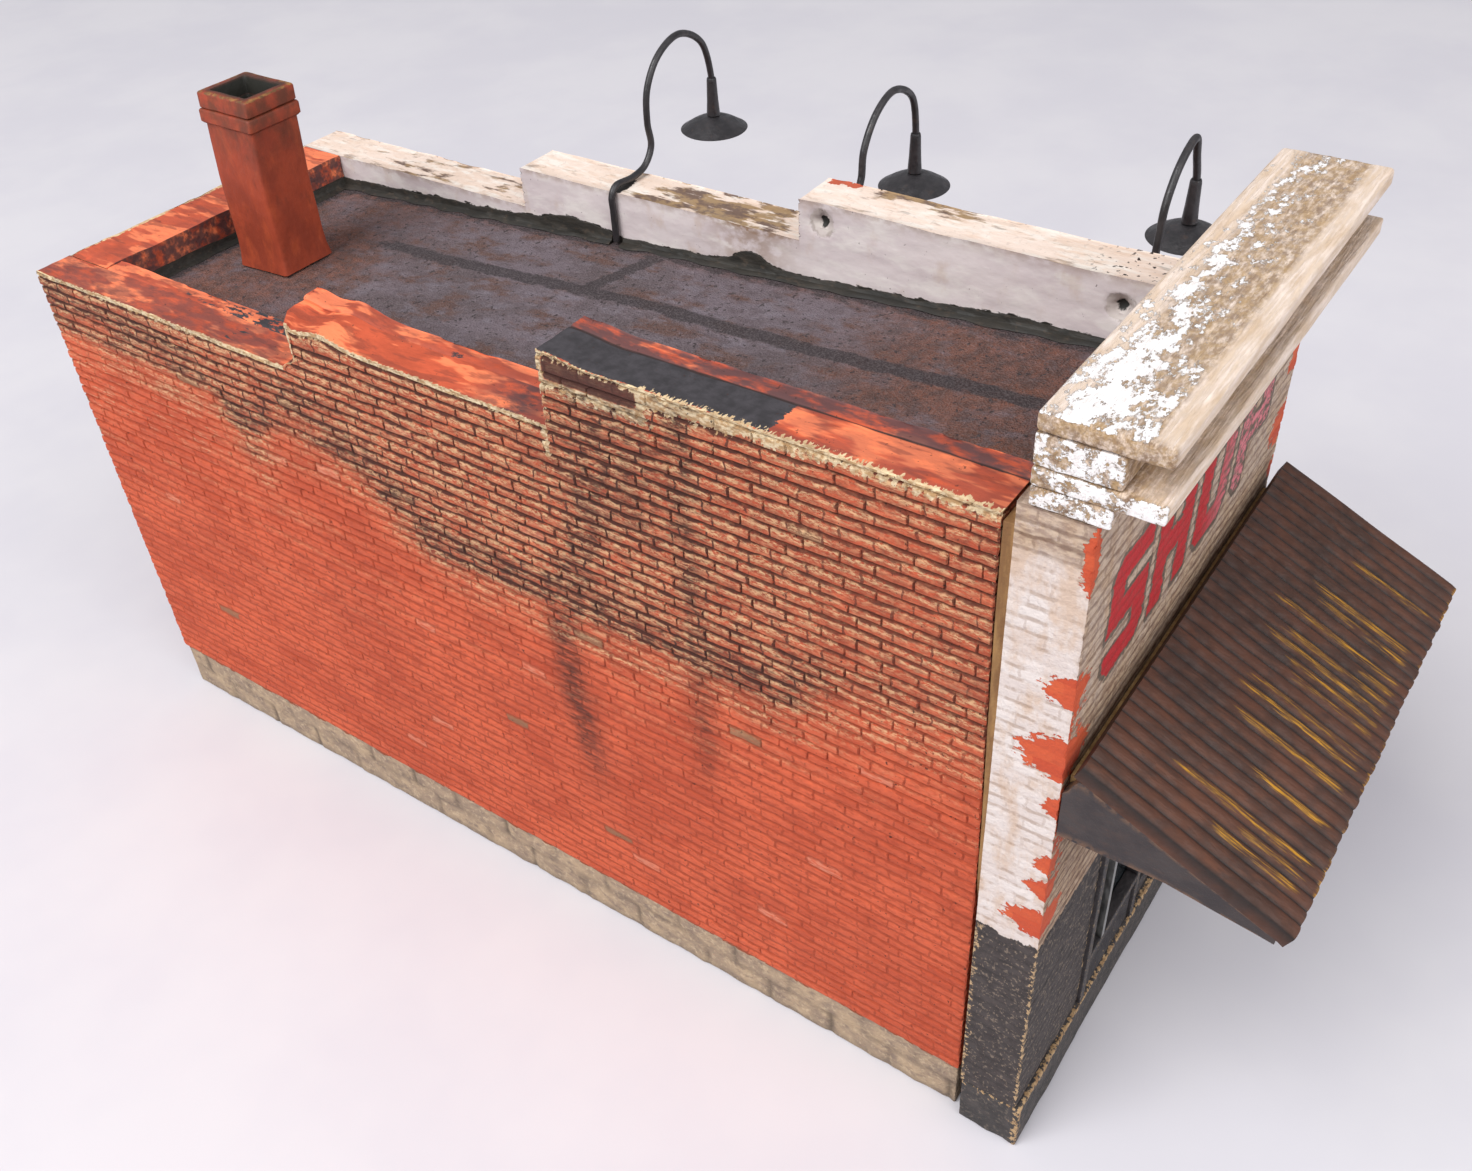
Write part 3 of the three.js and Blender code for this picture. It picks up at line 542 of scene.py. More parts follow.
def painted_brick():
    """Resin casting, brick-orange enamel with a brown wash in the joints and cream dry-brushed over the
    faces: a dead matt skin, clean orange below, broken by cream, brown and soot above."""
    m = Finish("resin_casting_brick_enamel_drybrushed", 0.88)
    bed, head, tint, up = m.bricks()
    soot, cream = m.add("Attribute soot"), m.add("Attribute cream")
    open_joint = m.add("Attribute joints")
    m.colour = m.add("Mix", tint, "#bd4c2c", "#cf5d3b")
    m.coat("#d6613d", m.spots((7, 9, 5), 0.42, 0.6))
    m.coat("#b54a2a", m.spots((1.5, 2.6, 0.9), 0.5, 0.66), 0.55)
    m.coat("#a33c20", m.spots((0.4, 0.6, 0.3), 0.5, 0.66), 0.5)
    pale = m.add("Math GREATER_THAN", tint, 0.985)
    m.coat("#dd9478", pale, m.spots((0.4, 0.8, 0.2), 0.35, 0.6), 0.55)
    grey = m.add("Math LESS_THAN", tint, 0.006)
    m.coat("#84694c", grey, m.spots((0.4, 0.8, 0.2), 0.2, 0.5), 0.8)
    # Faces browned by the wash where soot has gathered, in runs along the courses.
    m.coat("#5a2c1d", soot, m.spots((0.5, 1.8, 0.35), 0.36, 0.62), 0.75)
    m.coat("#8a4028", open_joint, m.spots((0.4, 1.2, 0.3), 0.42, 0.62), 0.4)
    # Cream caught by the raised faces, mostly on their upper half, in flecks drawn out along the courses.
    fleck = m.spots((0.17, 0.34, 0.12), 0.43, 0.56, 5.0, rough=0.75)
    patch = m.add("MapRange", m.spots((2.0, 3.5, 1.0), 0.36, 0.6), 0.0, 1.0, 0.35, 1.0)
    high = m.add("MapRange", up, 0.3, 0.72, 0.18, 1.0)
    m.coat("#dfb486", m.add("Math MINIMUM", m.times(fleck, patch, high, cream, 1.9), 0.9))
    # Joints: brick-red low down, dark brown in the sooted courses; upright ones half filled.
    some = m.spots((0.7, 1.1, 0.6), 0.34, 0.46)
    joint = m.add("Math MAXIMUM", bed, m.times(head, some, 0.85))
    joint = m.times(joint, m.add("MapRange", m.spots((0.5, 1.0, 0.3), 0.2, 0.6), 0.0, 1.0, 0.62, 1.0))
    m.coat("#a34022", joint, 0.72)
    dark = m.times(joint, m.add("Math ADD", m.times(open_joint, 0.88), m.times(soot, 0.4)))
    m.coat("#46231a", m.add("Math MINIMUM", dark, 0.93))
    # Strokes of cream along single courses.
    stroke = m.times(m.spots((0.4, 2.6, 0.2), 0.52, 0.66, 5.0), m.spots(0.25, 0.35, 0.55))
    on_face = m.add("Math SUBTRACT", 1.0, m.times(bed, 0.8))
    m.coat("#d8a880", stroke, m.add("Attribute stroke"), on_face, 0.75)
    # The raised edge, brushed thick with cream.
    panel = m.add("Attribute panel")
    below = m.add("MapRange", m.ragged(panel, (0.4, 0.5, 0.4), 0.8), 0.8, 0.65)
    below = m.times(below, m.add("MapRange", panel, 0.0, 0.1))
    edge = m.add("Math MAXIMUM", m.frayed((0.5, 0.38, 0.6)), below)
    inside = m.times(m.add("MapRange", panel, 0.06, -0.06), m.add("Math SUBTRACT", 1.0, edge))
    inside = m.times(inside, m.spots((0.8, 1.2, 0.5), 0.1, 0.4))
    m.coat(m.add("Mix", m.spots((0.3, 0.4, 0.25), 0.38, 0.62, 5.0), "#bb9569", "#ead5b0"), edge)
    # Soot in a film, streaked down the wall.
    m.coat("#38201a", soot, m.spots((0.8, 0.8, 3.0), 0.25, 0.6, 5.0), 0.34)
    m.coat("#3a1d15", soot, m.spots((0.3, 0.9, 0.2), 0.5, 0.62, 5.0), 0.75)
    m.coat("#33190f", m.spots(0.3, 0.68, 0.73, 2.0), 0.85)
    m.coat("#4a2820", inside, 0.9)
    height = m.add("Math ADD", m.times(m.spots((0.2, 0.3, 0.2), 0.2, 0.8), 0.6), m.times(fleck, 0.3))
    return m.close(height, 0.06)


def painted_top():
    """The same casting's sawn top, brushed with brick enamel and smeared with roof tar: smoother, with
    bright orange patches over dull red and a soft black film. It also carries painted shade: a dark
    line in the groove behind the left casting, and purple-grey over the rear wall's inner face."""
    m = Finish("resin_casting_brick_enamel_brushed", 0.72)
    m.colour = m.add("Mix", m.spots((3.5, 5.5, 3.5), 0.38, 0.62), "#b24a2c", "#d05a37")
    m.coat("#fb8556", m.spots((1.6, 6.0, 2.0), 0.5, 0.57, 3.0))
    m.coat("#8a3d2a", m.spots((0.9, 3.2, 1.2), 0.52, 0.62, 3.0), 0.6)
    # Purple-grey smudges; over the rear wall's inner face this coat is painted shade.
    m.coat("#503a3c", m.add("Attribute smudge"), m.spots((0.7, 1.8, 0.8), 0.3, 0.58))
    tar = m.ragged(m.add("Attribute tar"), (0.35, 1.1, 0.6), 0.7)
    m.coat(m.add("Mix", m.spots(0.8, 0.3, 0.7), "#2e2b2e", "#413d41"), m.add("MapRange", tar, 0.46, 0.58))
    m.coat("#3b211a", m.spots(0.3, 0.68, 0.73, 2.0), 0.7)
    # The groove between the casting and the strip behind it, drawn as a dark line: painted shade.
    across = m.add("Math ABSOLUTE", m.add("Math SUBTRACT", m.x, LEFT_HIGH[0] + 0.06))
    line = m.times(m.add("MapRange", across, 0.17, 0.06), m.spots((0.4, 2.5, 0.4), 0.2, 0.5))
    m.coat("#2a1613", line, m.add("MapRange", m.z, Z_MID + 1.0, Z_MID + 1.4))
    m.coat(
        m.add("Mix", m.spots((0.5, 0.4, 0.5), 0.3, 0.7), "#c2a077", "#e6cfa6"), m.frayed((0.5, 0.2, 0.4))
    )
    return m.close(m.grain((0.7, 1.6, 0.7), 5.0), 0.12)


def painted_white():
    """Resin casting, flat white enamel brushed smooth, grimed and chipped: chalky and slightly lilac,
    brown where dirt has run and black where the roof tar was brushed up against it."""
    m = Finish("resin_casting_white_enamel_grimed", 0.62)
    m.colour = m.add("Mix", m.spots((4, 6, 3), 0.35, 0.65), "#ded3d2", "#d3c6c7")
    m.coat("#e6deda", m.spots((1.6, 3.0, 1.2), 0.45, 0.7))
    m.coat("#c2a994", m.spots((1.2, 2.0, 3.0), 0.55, 0.75), 0.4)
    m.coat("#8b6a4a", m.add("Attribute stain"), m.spots((0.7, 1.0, 0.7), 0.3, 0.62))
    tar = m.ragged(m.add("Attribute tar"), (0.4, 0.7, 0.25), 0.22)
    m.coat(m.add("Mix", m.spots(0.6, 0.3, 0.7), "#211f1a", "#35302a"), m.add("MapRange", tar, 0.47, 0.53))
    m.coat("#3f302a", m.spots(0.3, 0.71, 0.76, 2.0), 0.75)
    sides = m.add("VectorMath MULTIPLY", m.place, (0, 1, 1))
    # Round each wire hole: a grey-tan broken-out dish with a brown rim, and painted shade, near black, in
    # the hole itself.
    for hole_y, hole_z in LAMP_HOLES:
        off = m.ragged(m.add("VectorMath DISTANCE", sides, (0, hole_y, hole_z), out=1), 0.5, 0.2)
        dish = m.times(m.add("MapRange", off, PIT_DISH, PIT_DISH - 0.1), 0.35)
        outer = m.add("MapRange", off, PIT_DISH + 0.12, PIT_DISH)
        inner = m.add("MapRange", off, PIT_DISH - 0.2, PIT_DISH - 0.05)
        m.coat("#a9a08e", dish)
        m.coat("#7a6a5c", outer, inner, m.spots(0.7, 0.4, 0.6), 0.5)
        m.coat("#242320", m.add("MapRange", off, PIT_HOLE + 0.12, PIT_HOLE))
    return m.close(m.grain((0.9, 1.4, 0.9)), 0.06)


def cream_top():
    """The right parapet's sawn top in cream enamel rubbed through to tan, with brown and brick-red worn
    places: pale and smooth between ragged dark stains."""
    m = Finish("resin_casting_cream_enamel_worn", 0.78)
    m.colour = m.add("Mix", m.spots((2.4, 5.0, 2.0), 0.35, 0.65), "#e8d4c6", "#e0c9b8")
    m.coat("#eadfd4", m.spots((0.9, 2.6, 0.9), 0.48, 0.66))
    m.coat("#cda88a", m.spots((0.4, 1.6, 0.4), 0.5, 0.66), 0.28)
    wear = m.ragged(m.add("Attribute stain"), (0.9, 3.2, 0.9), 0.9)
    brown = m.add("Mix", m.spots((0.9, 1.6, 0.9), 0.42, 0.58), "#54392b", "#93744a")
    m.coat(brown, m.add("MapRange", wear, 0.42, 0.7), 0.9)
    m.coat("#b8563a", m.add("MapRange", m.ragged(m.add("Attribute brick"), 0.8, 0.5), 0.5, 0.62))
    m.coat("#2d1e18", m.spots(0.42, 0.6, 0.65, 2.0), m.add("Attribute speck"))
    tar = m.ragged(m.add("Attribute tar"), 0.7, 0.4)
    m.coat("#2a2623", m.add("MapRange", tar, 0.5, 0.6))
    return m.close(m.grain((0.6, 1.2, 0.6), 5.0), 0.09)


def shopfront_paint():
    """Resin casting of brickwork under white enamel worn off the corners, with a black dado and a painted
    sign: chalky white with faint brown course lines, bare brick colour at the chips."""
    m = Finish("resin_casting_white_enamel_signwritten", 0.8)
    bed, head, tint, up = m.bricks()
    joint = m.add("Math MAXIMUM", bed, m.times(head, 0.55))
    grime = m.add("Attribute grime")
    upper = m.add("Mix", tint, "#d5c8c2", "#dfd5d0")
    upper = m.add("Mix", m.spots((1.4, 1.4, 3.0), 0.42, 0.66), upper, "#cdb5a3")
    line = m.times(joint, m.add("MapRange", m.spots((1.4, 1.2, 2.0), 0.42, 0.62), 0.0, 1.0, 0.06, 0.5))
    upper = m.add("Mix", line, upper, "#94765f")
    # Tan wash over the sign and under the cornice, brown in its joints.
    dirt = m.times(grime, m.spots((0.7, 0.7, 0.45), 0.1, 0.45))
    tan = m.add("Mix", m.spots((0.5, 0.5, 0.2), 0.38, 0.62), "#8a6a50", "#b79b7d")
    upper = m.add("Mix", m.times(dirt, 0.9), upper, tan)
    upper = m.add("Mix", m.times(grime, joint, 0.6), upper, "#5b4032")
    # The sign: red block letters with a thin dark outline, fading to pink at the right.
    sign = m.ragged(m.add("Attribute sign"), 0.3, 0.16)
    outline = m.times(m.add("MapRange", sign, 0.36, 0.26), m.spots(0.5, 0.2, 0.42))
    upper = m.add("Mix", m.times(outline, 0.8), upper, "#4c4238")
    faded = m.add("MapRange", m.x, 15.5, 21.5)
    red = m.add("Mix", m.times(faded, 0.75), "#b81f26", "#dd8a94")
    gone = m.times(m.add("Math ADD", faded, 0.12), m.spots((0.6, 0.6, 0.5), 0.44, 0.6))
    fill = m.times(m.add("MapRange", sign, 0.04, -0.04), m.add("Math SUBTRACT", 1.0, gone))
    upper = m.add("Mix", fill, upper, m.add("Mix", m.times(joint, 0.35), red, "#7a2420"))
    # Paint gone from the corner, down to the brick colour under it.
    bare = m.add("MapRange", m.ragged(m.add("Attribute bare"), (0.5, 0.5, 0.3), 0.75), 0.5, 0.56)
    upper = m.add("Mix", bare, upper, m.add("Mix", tint, "#b94526", "#cc5a32"))
    # The dado, worn to tan dots along its edges.
    dado = m.add("Mix", m.spots(0.8, 0.3, 0.7), "#332c2b", "#463e3c")
    dado = m.add("Mix", m.times(m.spots(0.24, 0.56, 0.66, 2.0), 0.7), dado, "#857566")
    dado = m.add("Mix", m.times(bed, 0.3), dado, "#221e1e")
    worn = m.add("MapRange", m.ragged(m.add("Attribute wear"), 0.24, 1.3), 0.72, 0.84)
    dado = m.add("Mix", m.times(worn, m.add("Math SUBTRACT", 1.0, m.times(bed, 0.7))), dado, "#b89a74")
    level = m.ragged(m.z, (0.8, 0.8, 5.0), 0.5)
    m.colour = m.add("Mix", m.add("MapRange", level, PAINT_LINE - 0.04, PAINT_LINE + 0.04), dado, upper)
    height = m.add("Math ADD", m.spots(0.3, 0.2, 0.8), m.times(bare, -0.6))
    return m.close(height, 0.05)


def stone():
    """Resin casting of coursed stone, tan enamel over grey with a dark wash: matt and blotchy, with the
    brick paint's overrun along its top."""
    m = Finish("resin_casting_stone_enamel_washed", 0.9)
    m.colour = m.add("Mix", m.spots((2.0, 2.6, 1.6), 0.35, 0.65), "#9b8672", "#b49c80")
    m.coat("#8a7768", m.spots((0.8, 1.1, 0.6), 0.45, 0.7))
    m.coat("#c9b294", m.spots(0.4, 0.5, 0.7), 0.7)
    m.coat("#4f4237", m.add("Attribute crack"), 0.75)
    top = m.times(m.spots((0.6, 1.3, 0.5), 0.3, 0.7), 0.8)
    top = m.add("Math ADD", m.add("MapRange", m.z, BASE - 0.75, BASE), top)
    m.coat("#8f4a2c", m.add("MapRange", top, 1.05, 1.25))
    m.coat("#5f544b", m.add("MapRange", m.z, 0.9, 0.0), 0.45)
    height = m.add("Math ADD", m.spots(0.5, 0.2, 0.8), m.times(m.spots(0.16, 0.2, 0.8), 0.4))
    return m.close(height, 0.09)


def roof_paper():
    """Abrasive paper for roofing felt, brushed with thin black and rusty washes: dead matt, purple-brown,
    gritty, with darker brushed tar along its seams and edges, and painted shadow in the same browns
    beside the chimney and along the left parapet."""
    m = Finish("abrasive_paper_roofing_washed", 0.9)
    m.colour = m.add("Mix", m.spots((5, 9, 5), 0.38, 0.62), "#5b4d50", "#6f6269")
    m.coat("#5f4138", m.spots((2.2, 4.0, 2.0), 0.48, 0.64))
    m.coat("#7c737c", m.spots((1.2, 2.4, 1.0), 0.5, 0.68), 0.6)
    m.coat("#47373a", m.spots((0.7, 1.4, 0.7), 0.5, 0.66), 0.45)
    # Rusty patches, and painted shadow of the chimney and the left parapet, laid in the same browns.
    rust = m.times(m.add("Attribute rust"), m.spots((1.4, 2.2, 1.0), 0.22, 0.55))
    m.coat(m.add("Mix", m.spots(0.9, 0.35, 0.65), "#55352a", "#7a4a38"), rust, 0.9)
    seam = m.ragged(m.add("Attribute seam"), (0.5, 1.4, 1.0), 0.6)
    m.coat("#30272a", m.add("MapRange", seam, 0.3, 0.8), 0.9)
    m.coat("#261a1c", m.spots(0.42, 0.61, 0.67, 2.0), 0.85)
    grit = m.spots(0.14, 0.35, 0.65, 2.0)
    m.coat("#a59a9b", grit, 0.16)
    height = m.add("Math ADD", grit, m.times(m.spots(0.7, 0.2, 0.8), 1.2))
    return m.close(height, 0.07)


def tar():
    """Bituminous paint brushed thick into the roof's corners: nearly black, olive-brown where thin, with
    a low sheen."""
    m = Finish("bituminous_paint_brushed", 0.6)
    m.colour = m.add("Mix", m.spots((0.9, 1.8, 0.6), 0.35, 0.65), "#1d1b16", "#2b2720")
    m.coat("#4a3d31", m.spots((0.5, 0.8, 0.4), 0.55, 0.7), 0.6)
    return m.close(m.grain((0.5, 1.1, 0.4)), 0.07)


def chimney_paint():
    """Resin casting, brick-red enamel over black, rubbed: satin, even and sooty at the top, with a tan rub
    along the rim."""
    m = Finish("resin_casting_brick_enamel_rubbed", 0.62)
    m.colour = m.add("Mix", m.spots((2.4, 2.4, 4.0), 0.36, 0.64), "#8b361f", "#a04024")
    m.coat("#b54e29", m.spots((1.4, 1.4, 3.0), 0.5, 0.68), 0.55)
    m.coat("#602d1d", m.spots((1.1, 1.1, 2.0), 0.54, 0.7), 0.35)
    m.coat("#4a2c1a", m.add("MapRange", m.z, 45.5, 52.5), m.spots((1.2, 1.2, 1.4), 0.3, 0.66), 0.75)
    rim = m.ragged(m.add("Attribute wear"), 0.5, 0.7)
    m.coat(
        m.add("Mix", m.spots(0.6, 0.35, 0.65), "#5b4326", "#a0703a"), m.add("MapRange", rim, 0.5, 0.75),
        0.85,
    )
    m.coat("#26251f", m.add("Attribute flue"))
    return m.close(m.grain((0.6, 0.6, 0.9)), 0.07)


def cream_timber():
    """Basswood strip, cream paint rubbed thin along the grain, with thick white flakes and a brown wash
    between them: matt, the white standing slightly proud. The wash mask also carries painted shade under
    the cornice cap."""
    m = Finish("basswood_cream_paint_flaking", 0.75)
    grain = m.spots((2.6, 0.2, 0.22), 0.35, 0.65, 5.0)
    m.colour = m.add("Mix", grain, "#dfc9b4", "#efddd0")
    m.coat("#c9a985", m.spots((3.0, 0.7, 0.6), 0.45, 0.68), 0.5)
    # Brown wash; where the strips lie under the cap the mask is raised as painted shade.
    wash = m.times(m.add("Attribute wash"), m.spots((0.8, 0.35, 0.35), 0.3, 0.58, 6.0, rough=0.75))
    m.coat(m.add("Mix", m.spots(0.6, 0.35, 0.65), "#74563a", "#a2804f"), wash, 0.9)
    flake = m.add(
        "Math ADD", m.add("Attribute flake"), m.spots((1.6, 1.0, 0.8), 0.25, 0.75, 6.0, rough=0.78)
    )
    white = m.add("MapRange", flake, 1.08, 1.17)
    m.coat(m.add("Mix", m.spots(0.5, 0.3, 0.7), "#fdfbfb", "#ece4e0"), white)
    height = m.add("Math ADD", m.times(white, 0.9), m.times(grain, 0.5))
    return m.close(height, 0.08)


def bare_timber():
    """Basswood, unpainted, sawn: pale tan with fine grain along its length."""
    m = Finish("basswood_bare_sawn", 0.8)
    grain = m.spots((0.3, 0.3, 3.0), 0.35, 0.65, 5.0)
    m.colour = m.add("Mix", grain, "#a17c4c", "#bd9a68")
    m.coat("#8d6b42", m.spots((2.0, 2.0, 3.0), 0.45, 0.7))
    return m.close(grain, 0.04)


def gap_filler():
    """Card packing painted tan, dark where it lies in shadow low in the joint."""
    m = Finish("card_packing_painted", 0.8)
    m.colour = m.add("Mix", m.spots((0.6, 0.6, 3.0), 0.35, 0.65), "#7f5a35", "#9c7648")
    low = m.add("Math ADD", m.z, m.times(m.spots(1.0, 0.2, 0.8), 2.0))
    m.coat("#2a1d18", m.add("MapRange", low, 22.0, 19.5))
    return m.close(m.spots(0.5, 0.2, 0.8), 0.05)


def awning_paint():
    """Corrugated card in dark brown enamel, dry-brushed with ochre along single ribs: satin crests,
    painted shade in the grooves, and yellow streaks that fade before the drip edge."""
    m = Finish("corrugated_card_brown_enamel_streaked", 0.5)
    m.colour = m.add("Mix", m.spots((2.5, 4.0, 3.0), 0.36, 0.64), "#3f2519", "#54301f")
    m.coat("#633a25", m.spots((0.5, 2.6, 1.4), 0.48, 0.68), 0.5)
    m.coat("#33241f", m.spots((1.2, 1.8, 1.2), 0.5, 0.7), 0.5)
    # Painted shade, near black, down the grooves between the ribs.
    m.coat("#140b09", m.add("Attribute groove"), 0.95)
    streak = m.ragged(m.add("Attribute streak"), (0.12, 2.0, 1.1), 0.9)
    ochre = m.add("Mix", m.add("MapRange", streak, 0.8, 1.2), "#74501c", "#b8821a")
    m.coat(ochre, m.add("MapRange", streak, 0.5, 0.8))
    satin = m.add("MapRange", m.spots(0.8, 0.3, 0.7), 0.0, 1.0, 0.55, 0.75)
    return m.close(m.spots((0.3, 1.0, 0.6), 0.2, 0.8), 0.04, satin)


def dark_board():
    """Styrene strip in the same brown enamel gone grey with dust: flat dark sides to the awning."""
    m = Finish("styrene_strip_brown_enamel_dusty", 0.6)
    m.colour = m.add("Mix", m.spots((2.0, 2.5, 1.5), 0.36, 0.64), "#2e2728", "#3b3332")
    m.coat("#46352f", m.spots((0.7, 1.2, 0.5), 0.5, 0.7), 0.5)
    m.coat("#6d503c", m.add("Attribute edge"), m.spots(0.5, 0.35, 0.6))
    return m.close(m.spots(0.6, 0.2, 0.8), 0.06)


def charcoal_joinery():
    """Styrene strip in charcoal enamel, rubbed to tan on its edges."""
    m = Finish("styrene_strip_charcoal_enamel_worn", 0.6)
    m.colour = m.add("Mix", m.spots(1.4, 0.35, 0.65), "#2a2628", "#383334")
    worn = m.ragged(m.add("Attribute edge"), 0.25, 1.2)
    m.coat("#8d7759", m.add("MapRange", worn, 0.66, 0.82), 0.7)
    return m.close(m.spots(0.3, 0.2, 0.8), 0.04)


def plinth_paint():
    """Stone casting in charcoal enamel, its top edge chipped to tan all along."""
    m = Finish("resin_casting_charcoal_enamel_chipped", 0.75)
    m.colour = m.add("Mix", m.spots(1.2, 0.35, 0.65), "#353130", "#47413f")
    m.coat("#74675b", m.spots(0.3, 0.54, 0.68), 0.6)
    worn = m.ragged(m.add("Attribute edge"), 0.3, 1.3)
    m.coat(
        m.add("Mix", m.spots(0.5, 0.3, 0.7), "#94724e", "#bf9f76"), m.add("MapRange", worn, 0.66, 0.8),
        0.95,
    )
    return m.close(m.spots(0.5, 0.2, 0.8), 0.09)


def glazing():
    """Clear styrene with nothing behind it but a dark inside, coloured near black as painted shade of that
    inside: glossy, faintly dusty.
    """
    m = Finish("clear_styrene_painted_shade_dark", 0.08, Specular_IOR_Level=0.6, IOR=1.59)
    m.colour = m.add("Mix", m.spots(3, 0.4, 0.7), "#14181a", "#22282b")
    return m.close(roughness=m.add("MapRange", m.spots(0.8, 0.3, 0.7), 0.0, 1.0, 0.06, 0.24))


def bare_metal():
    """Drawn nickel silver, unpainted: a bright grey line and knob with fine scratches."""
    m = Finish("nickel_silver_drawn", 0.35, 1.0)
    m.colour = m.add("Mix", m.spots((0.2, 0.2, 2.0), 0.3, 0.7), "#9b9c9a", "#b5b4ae")
    return m.close(roughness=m.add("MapRange", m.spots(0.4, 0.3, 0.7), 0.0, 1.0, 0.3, 0.5))


def lamp_paint():
    """Brass wire and a pressed brass shade in dark grey enamel, rubbed: satin, with dull warm glints."""
    m = Finish("brass_dark_grey_enamel_satin", 0.38)
    m.colour = m.add("Mix", m.spots(0.9, 0.35, 0.65), "#272527", "#343133")
    m.coat("#4f4038", m.spots(0.6, 0.58, 0.72), 0.4)
    satin = m.add("MapRange", m.spots(0.5, 0.3, 0.7), 0.0, 1.0, 0.3, 0.5)
    return m.close(m.spots(0.35, 0.2, 0.8), 0.02, satin)


BRICK_PAINT = painted_brick()
TOP_PAINT = painted_top()
WHITE_PAINT = painted_white()
CREAM_TOP = cream_top()
SHOP_PAINT = shopfront_paint()
STONE = stone()
ROOF_PAPER = roof_paper()
TAR = tar()
CHIMNEY_PAINT = chimney_paint()
CREAM_TIMBER = cream_timber()
BARE_TIMBER = bare_timber()
GAP_FILLER = gap_filler()
AWNING_PAINT = awning_paint()
DARK_BOARD = dark_board()
CHARCOAL = charcoal_joinery()
PLINTH_PAINT = plinth_paint()
GLAZING = glazing()
BARE_METAL = bare_metal()
LAMP_PAINT = lamp_paint()


# ---------------------------------------------------------------- walls


def stepped_outline(high, step_mid, end, base):
    """Side of a wall whose top steps down twice, as (along, height above base)."""
    return [
        (0, 0),
        (end, 0),
        (end, Z_LOW - base),
        (step_mid, Z_LOW - base),
        (step_mid, Z_MID - base),
        (STEP_HIGH, Z_MID - base),
        (STEP_HIGH, high - base),
        (0, high - base),
    ]


def top_of(y, high, step_mid):
    """Height of a side wall's top at y."""
    return np.where(y < STEP_HIGH, high, np.where(y < step_mid, Z_MID, Z_LOW))


def groove_depth(flat):
    """Joints are open high on the wall and filled with paint lower down."""
    height = flat[:, 1] + BASE
    return 0.10 + 0.11 * ramp(height, 20, 33) + 0.04 * noise(flat, (4.0, 1.6), 9.0)


def soot_line(y):
    """The crooked line above which the left wall's joints are dark: highest over the rear half."""
    line = 31.2 + 2.2 * ramp(y, 14, 9) + 6.3 * ramp(y, 38, 50)
    return line - 3.8 * bump_at(y, 57, 2.6) + 1.0 * ramp(y, 60, 72)


def wall_masks(points, high, step_mid, strength=1.0):
    """Where the side walls are dry-brushed, sooted and worn, from height, distance below the coping and
    noise; two streaks run down below the high length."""
    y, z = points[:, 1], points[:, 2]
    below = top_of(y, high, step_mid) - z
    streaky = rough(points[:, 1:], (9.0, 1.1), 21.0)
    over = z - soot_line(y) - 1.5 * noise(points[:, 1:], (6.0, 1.2), 5.0)
    cream = 0.45 * ramp(below, 1.2, 0.2) + 0.7 * ramp(over, -6, 1.5) * (1 - 0.3 * ramp(y, 16, 6))
    cream += 0.16 * ramp(streaky, 0.1, 0.5) * ramp(z, 16, 26)
    soot = bump_at(over, 0.3, 1.6) * ramp(y, 7, 14) * (0.9 + 0.5 * noise(points[:, 1:], (7, 2), 4.0))
    long_streak = STREAK_Y + 1.1 * ramp(z, 14, 27) - 5.5 * ramp(z, 27, 46)
    soot += strength * bump_at(y, long_streak, 1.25) * ramp(z, 12, 22)
    soot += 0.6 * strength * bump_at(y, SHORT_STREAK_Y, 0.9) * ramp(z, 18, 26)
    soot += 0.6 * bump_at(y, 24.0, 5.0) * ramp(z, 37, 42) + 0.3 * ramp(over, -1, 2)
    joints = 0.14 + 0.24 * ramp(over, -7, -1) + 0.62 * ramp(over, -2, 1.2)
    joints = joints * (1 - 0.3 * ramp(y, 18, 8))
    smooth_rear = 1 - 0.6 * ramp(y, 50, 62) * ramp(over, 0, -3)
    stroke = ramp(y, 56, 62) * ramp(z, 28, 32) * ramp(z, 40, 37) + 0.35 * ramp(over, 0, 3)
    front = y < SPIKES_END
    width = np.where(y < STEP_HIGH, np.where(front, 0.45 + 0.55 * ramp(y, 6, 21), 0.3), 0.36)
    fray = np.where(y < STEP_HIGH, np.where(front, 0.6, 0.3), 0.18)
    panel = np.maximum(np.abs(y - PANEL_MIDDLE) - PANEL_HALF, below - 1.35) if strength == 1.0 else 9.0
    return {
        "cream": np.clip(cream, 0, 1),
        "soot": np.clip(soot, 0, 1),
        "joints": joints * smooth_rear,
        "stroke": stroke,
        "past_edge": below - width,
        "fray": fray,
        "panel": panel,
    }


END_LEAN = 0.45  # how far the left wall's front end leans back at its top


def worn_ends(points):
    """The left parapet is not sawn square: its middle length swells and its low corner is rubbed off, and
    its front end leans back from the front casting. Moves the points and returns them."""
    x, y, z = points.T.copy()
    swell = 0.5 * bump_at(y, 46.5, 1.8) + 0.35 * ramp(y, 48.5, 50.5)
    points[:, 2] += swell * ramp(z, Z_MID - 1.5, Z_MID)
    points[:, 2] += 0.3 * ramp(y, 24, 27.5) * ramp(z, Z_HIGH - 1.0, Z_HIGH)
    rubbed = ramp(y, 49, 51) * ramp(z, Z_LOW, Z_LOW + 0.8) * (y < 51.5)
    points[:, 1] -= 0.9 * np.clip(1.6 - x, 0, None) * rubbed
    points[:, 1] += END_LEAN * ramp(z, 20, 48) * np.clip(1 - y / 2, 0, 1)
    return points


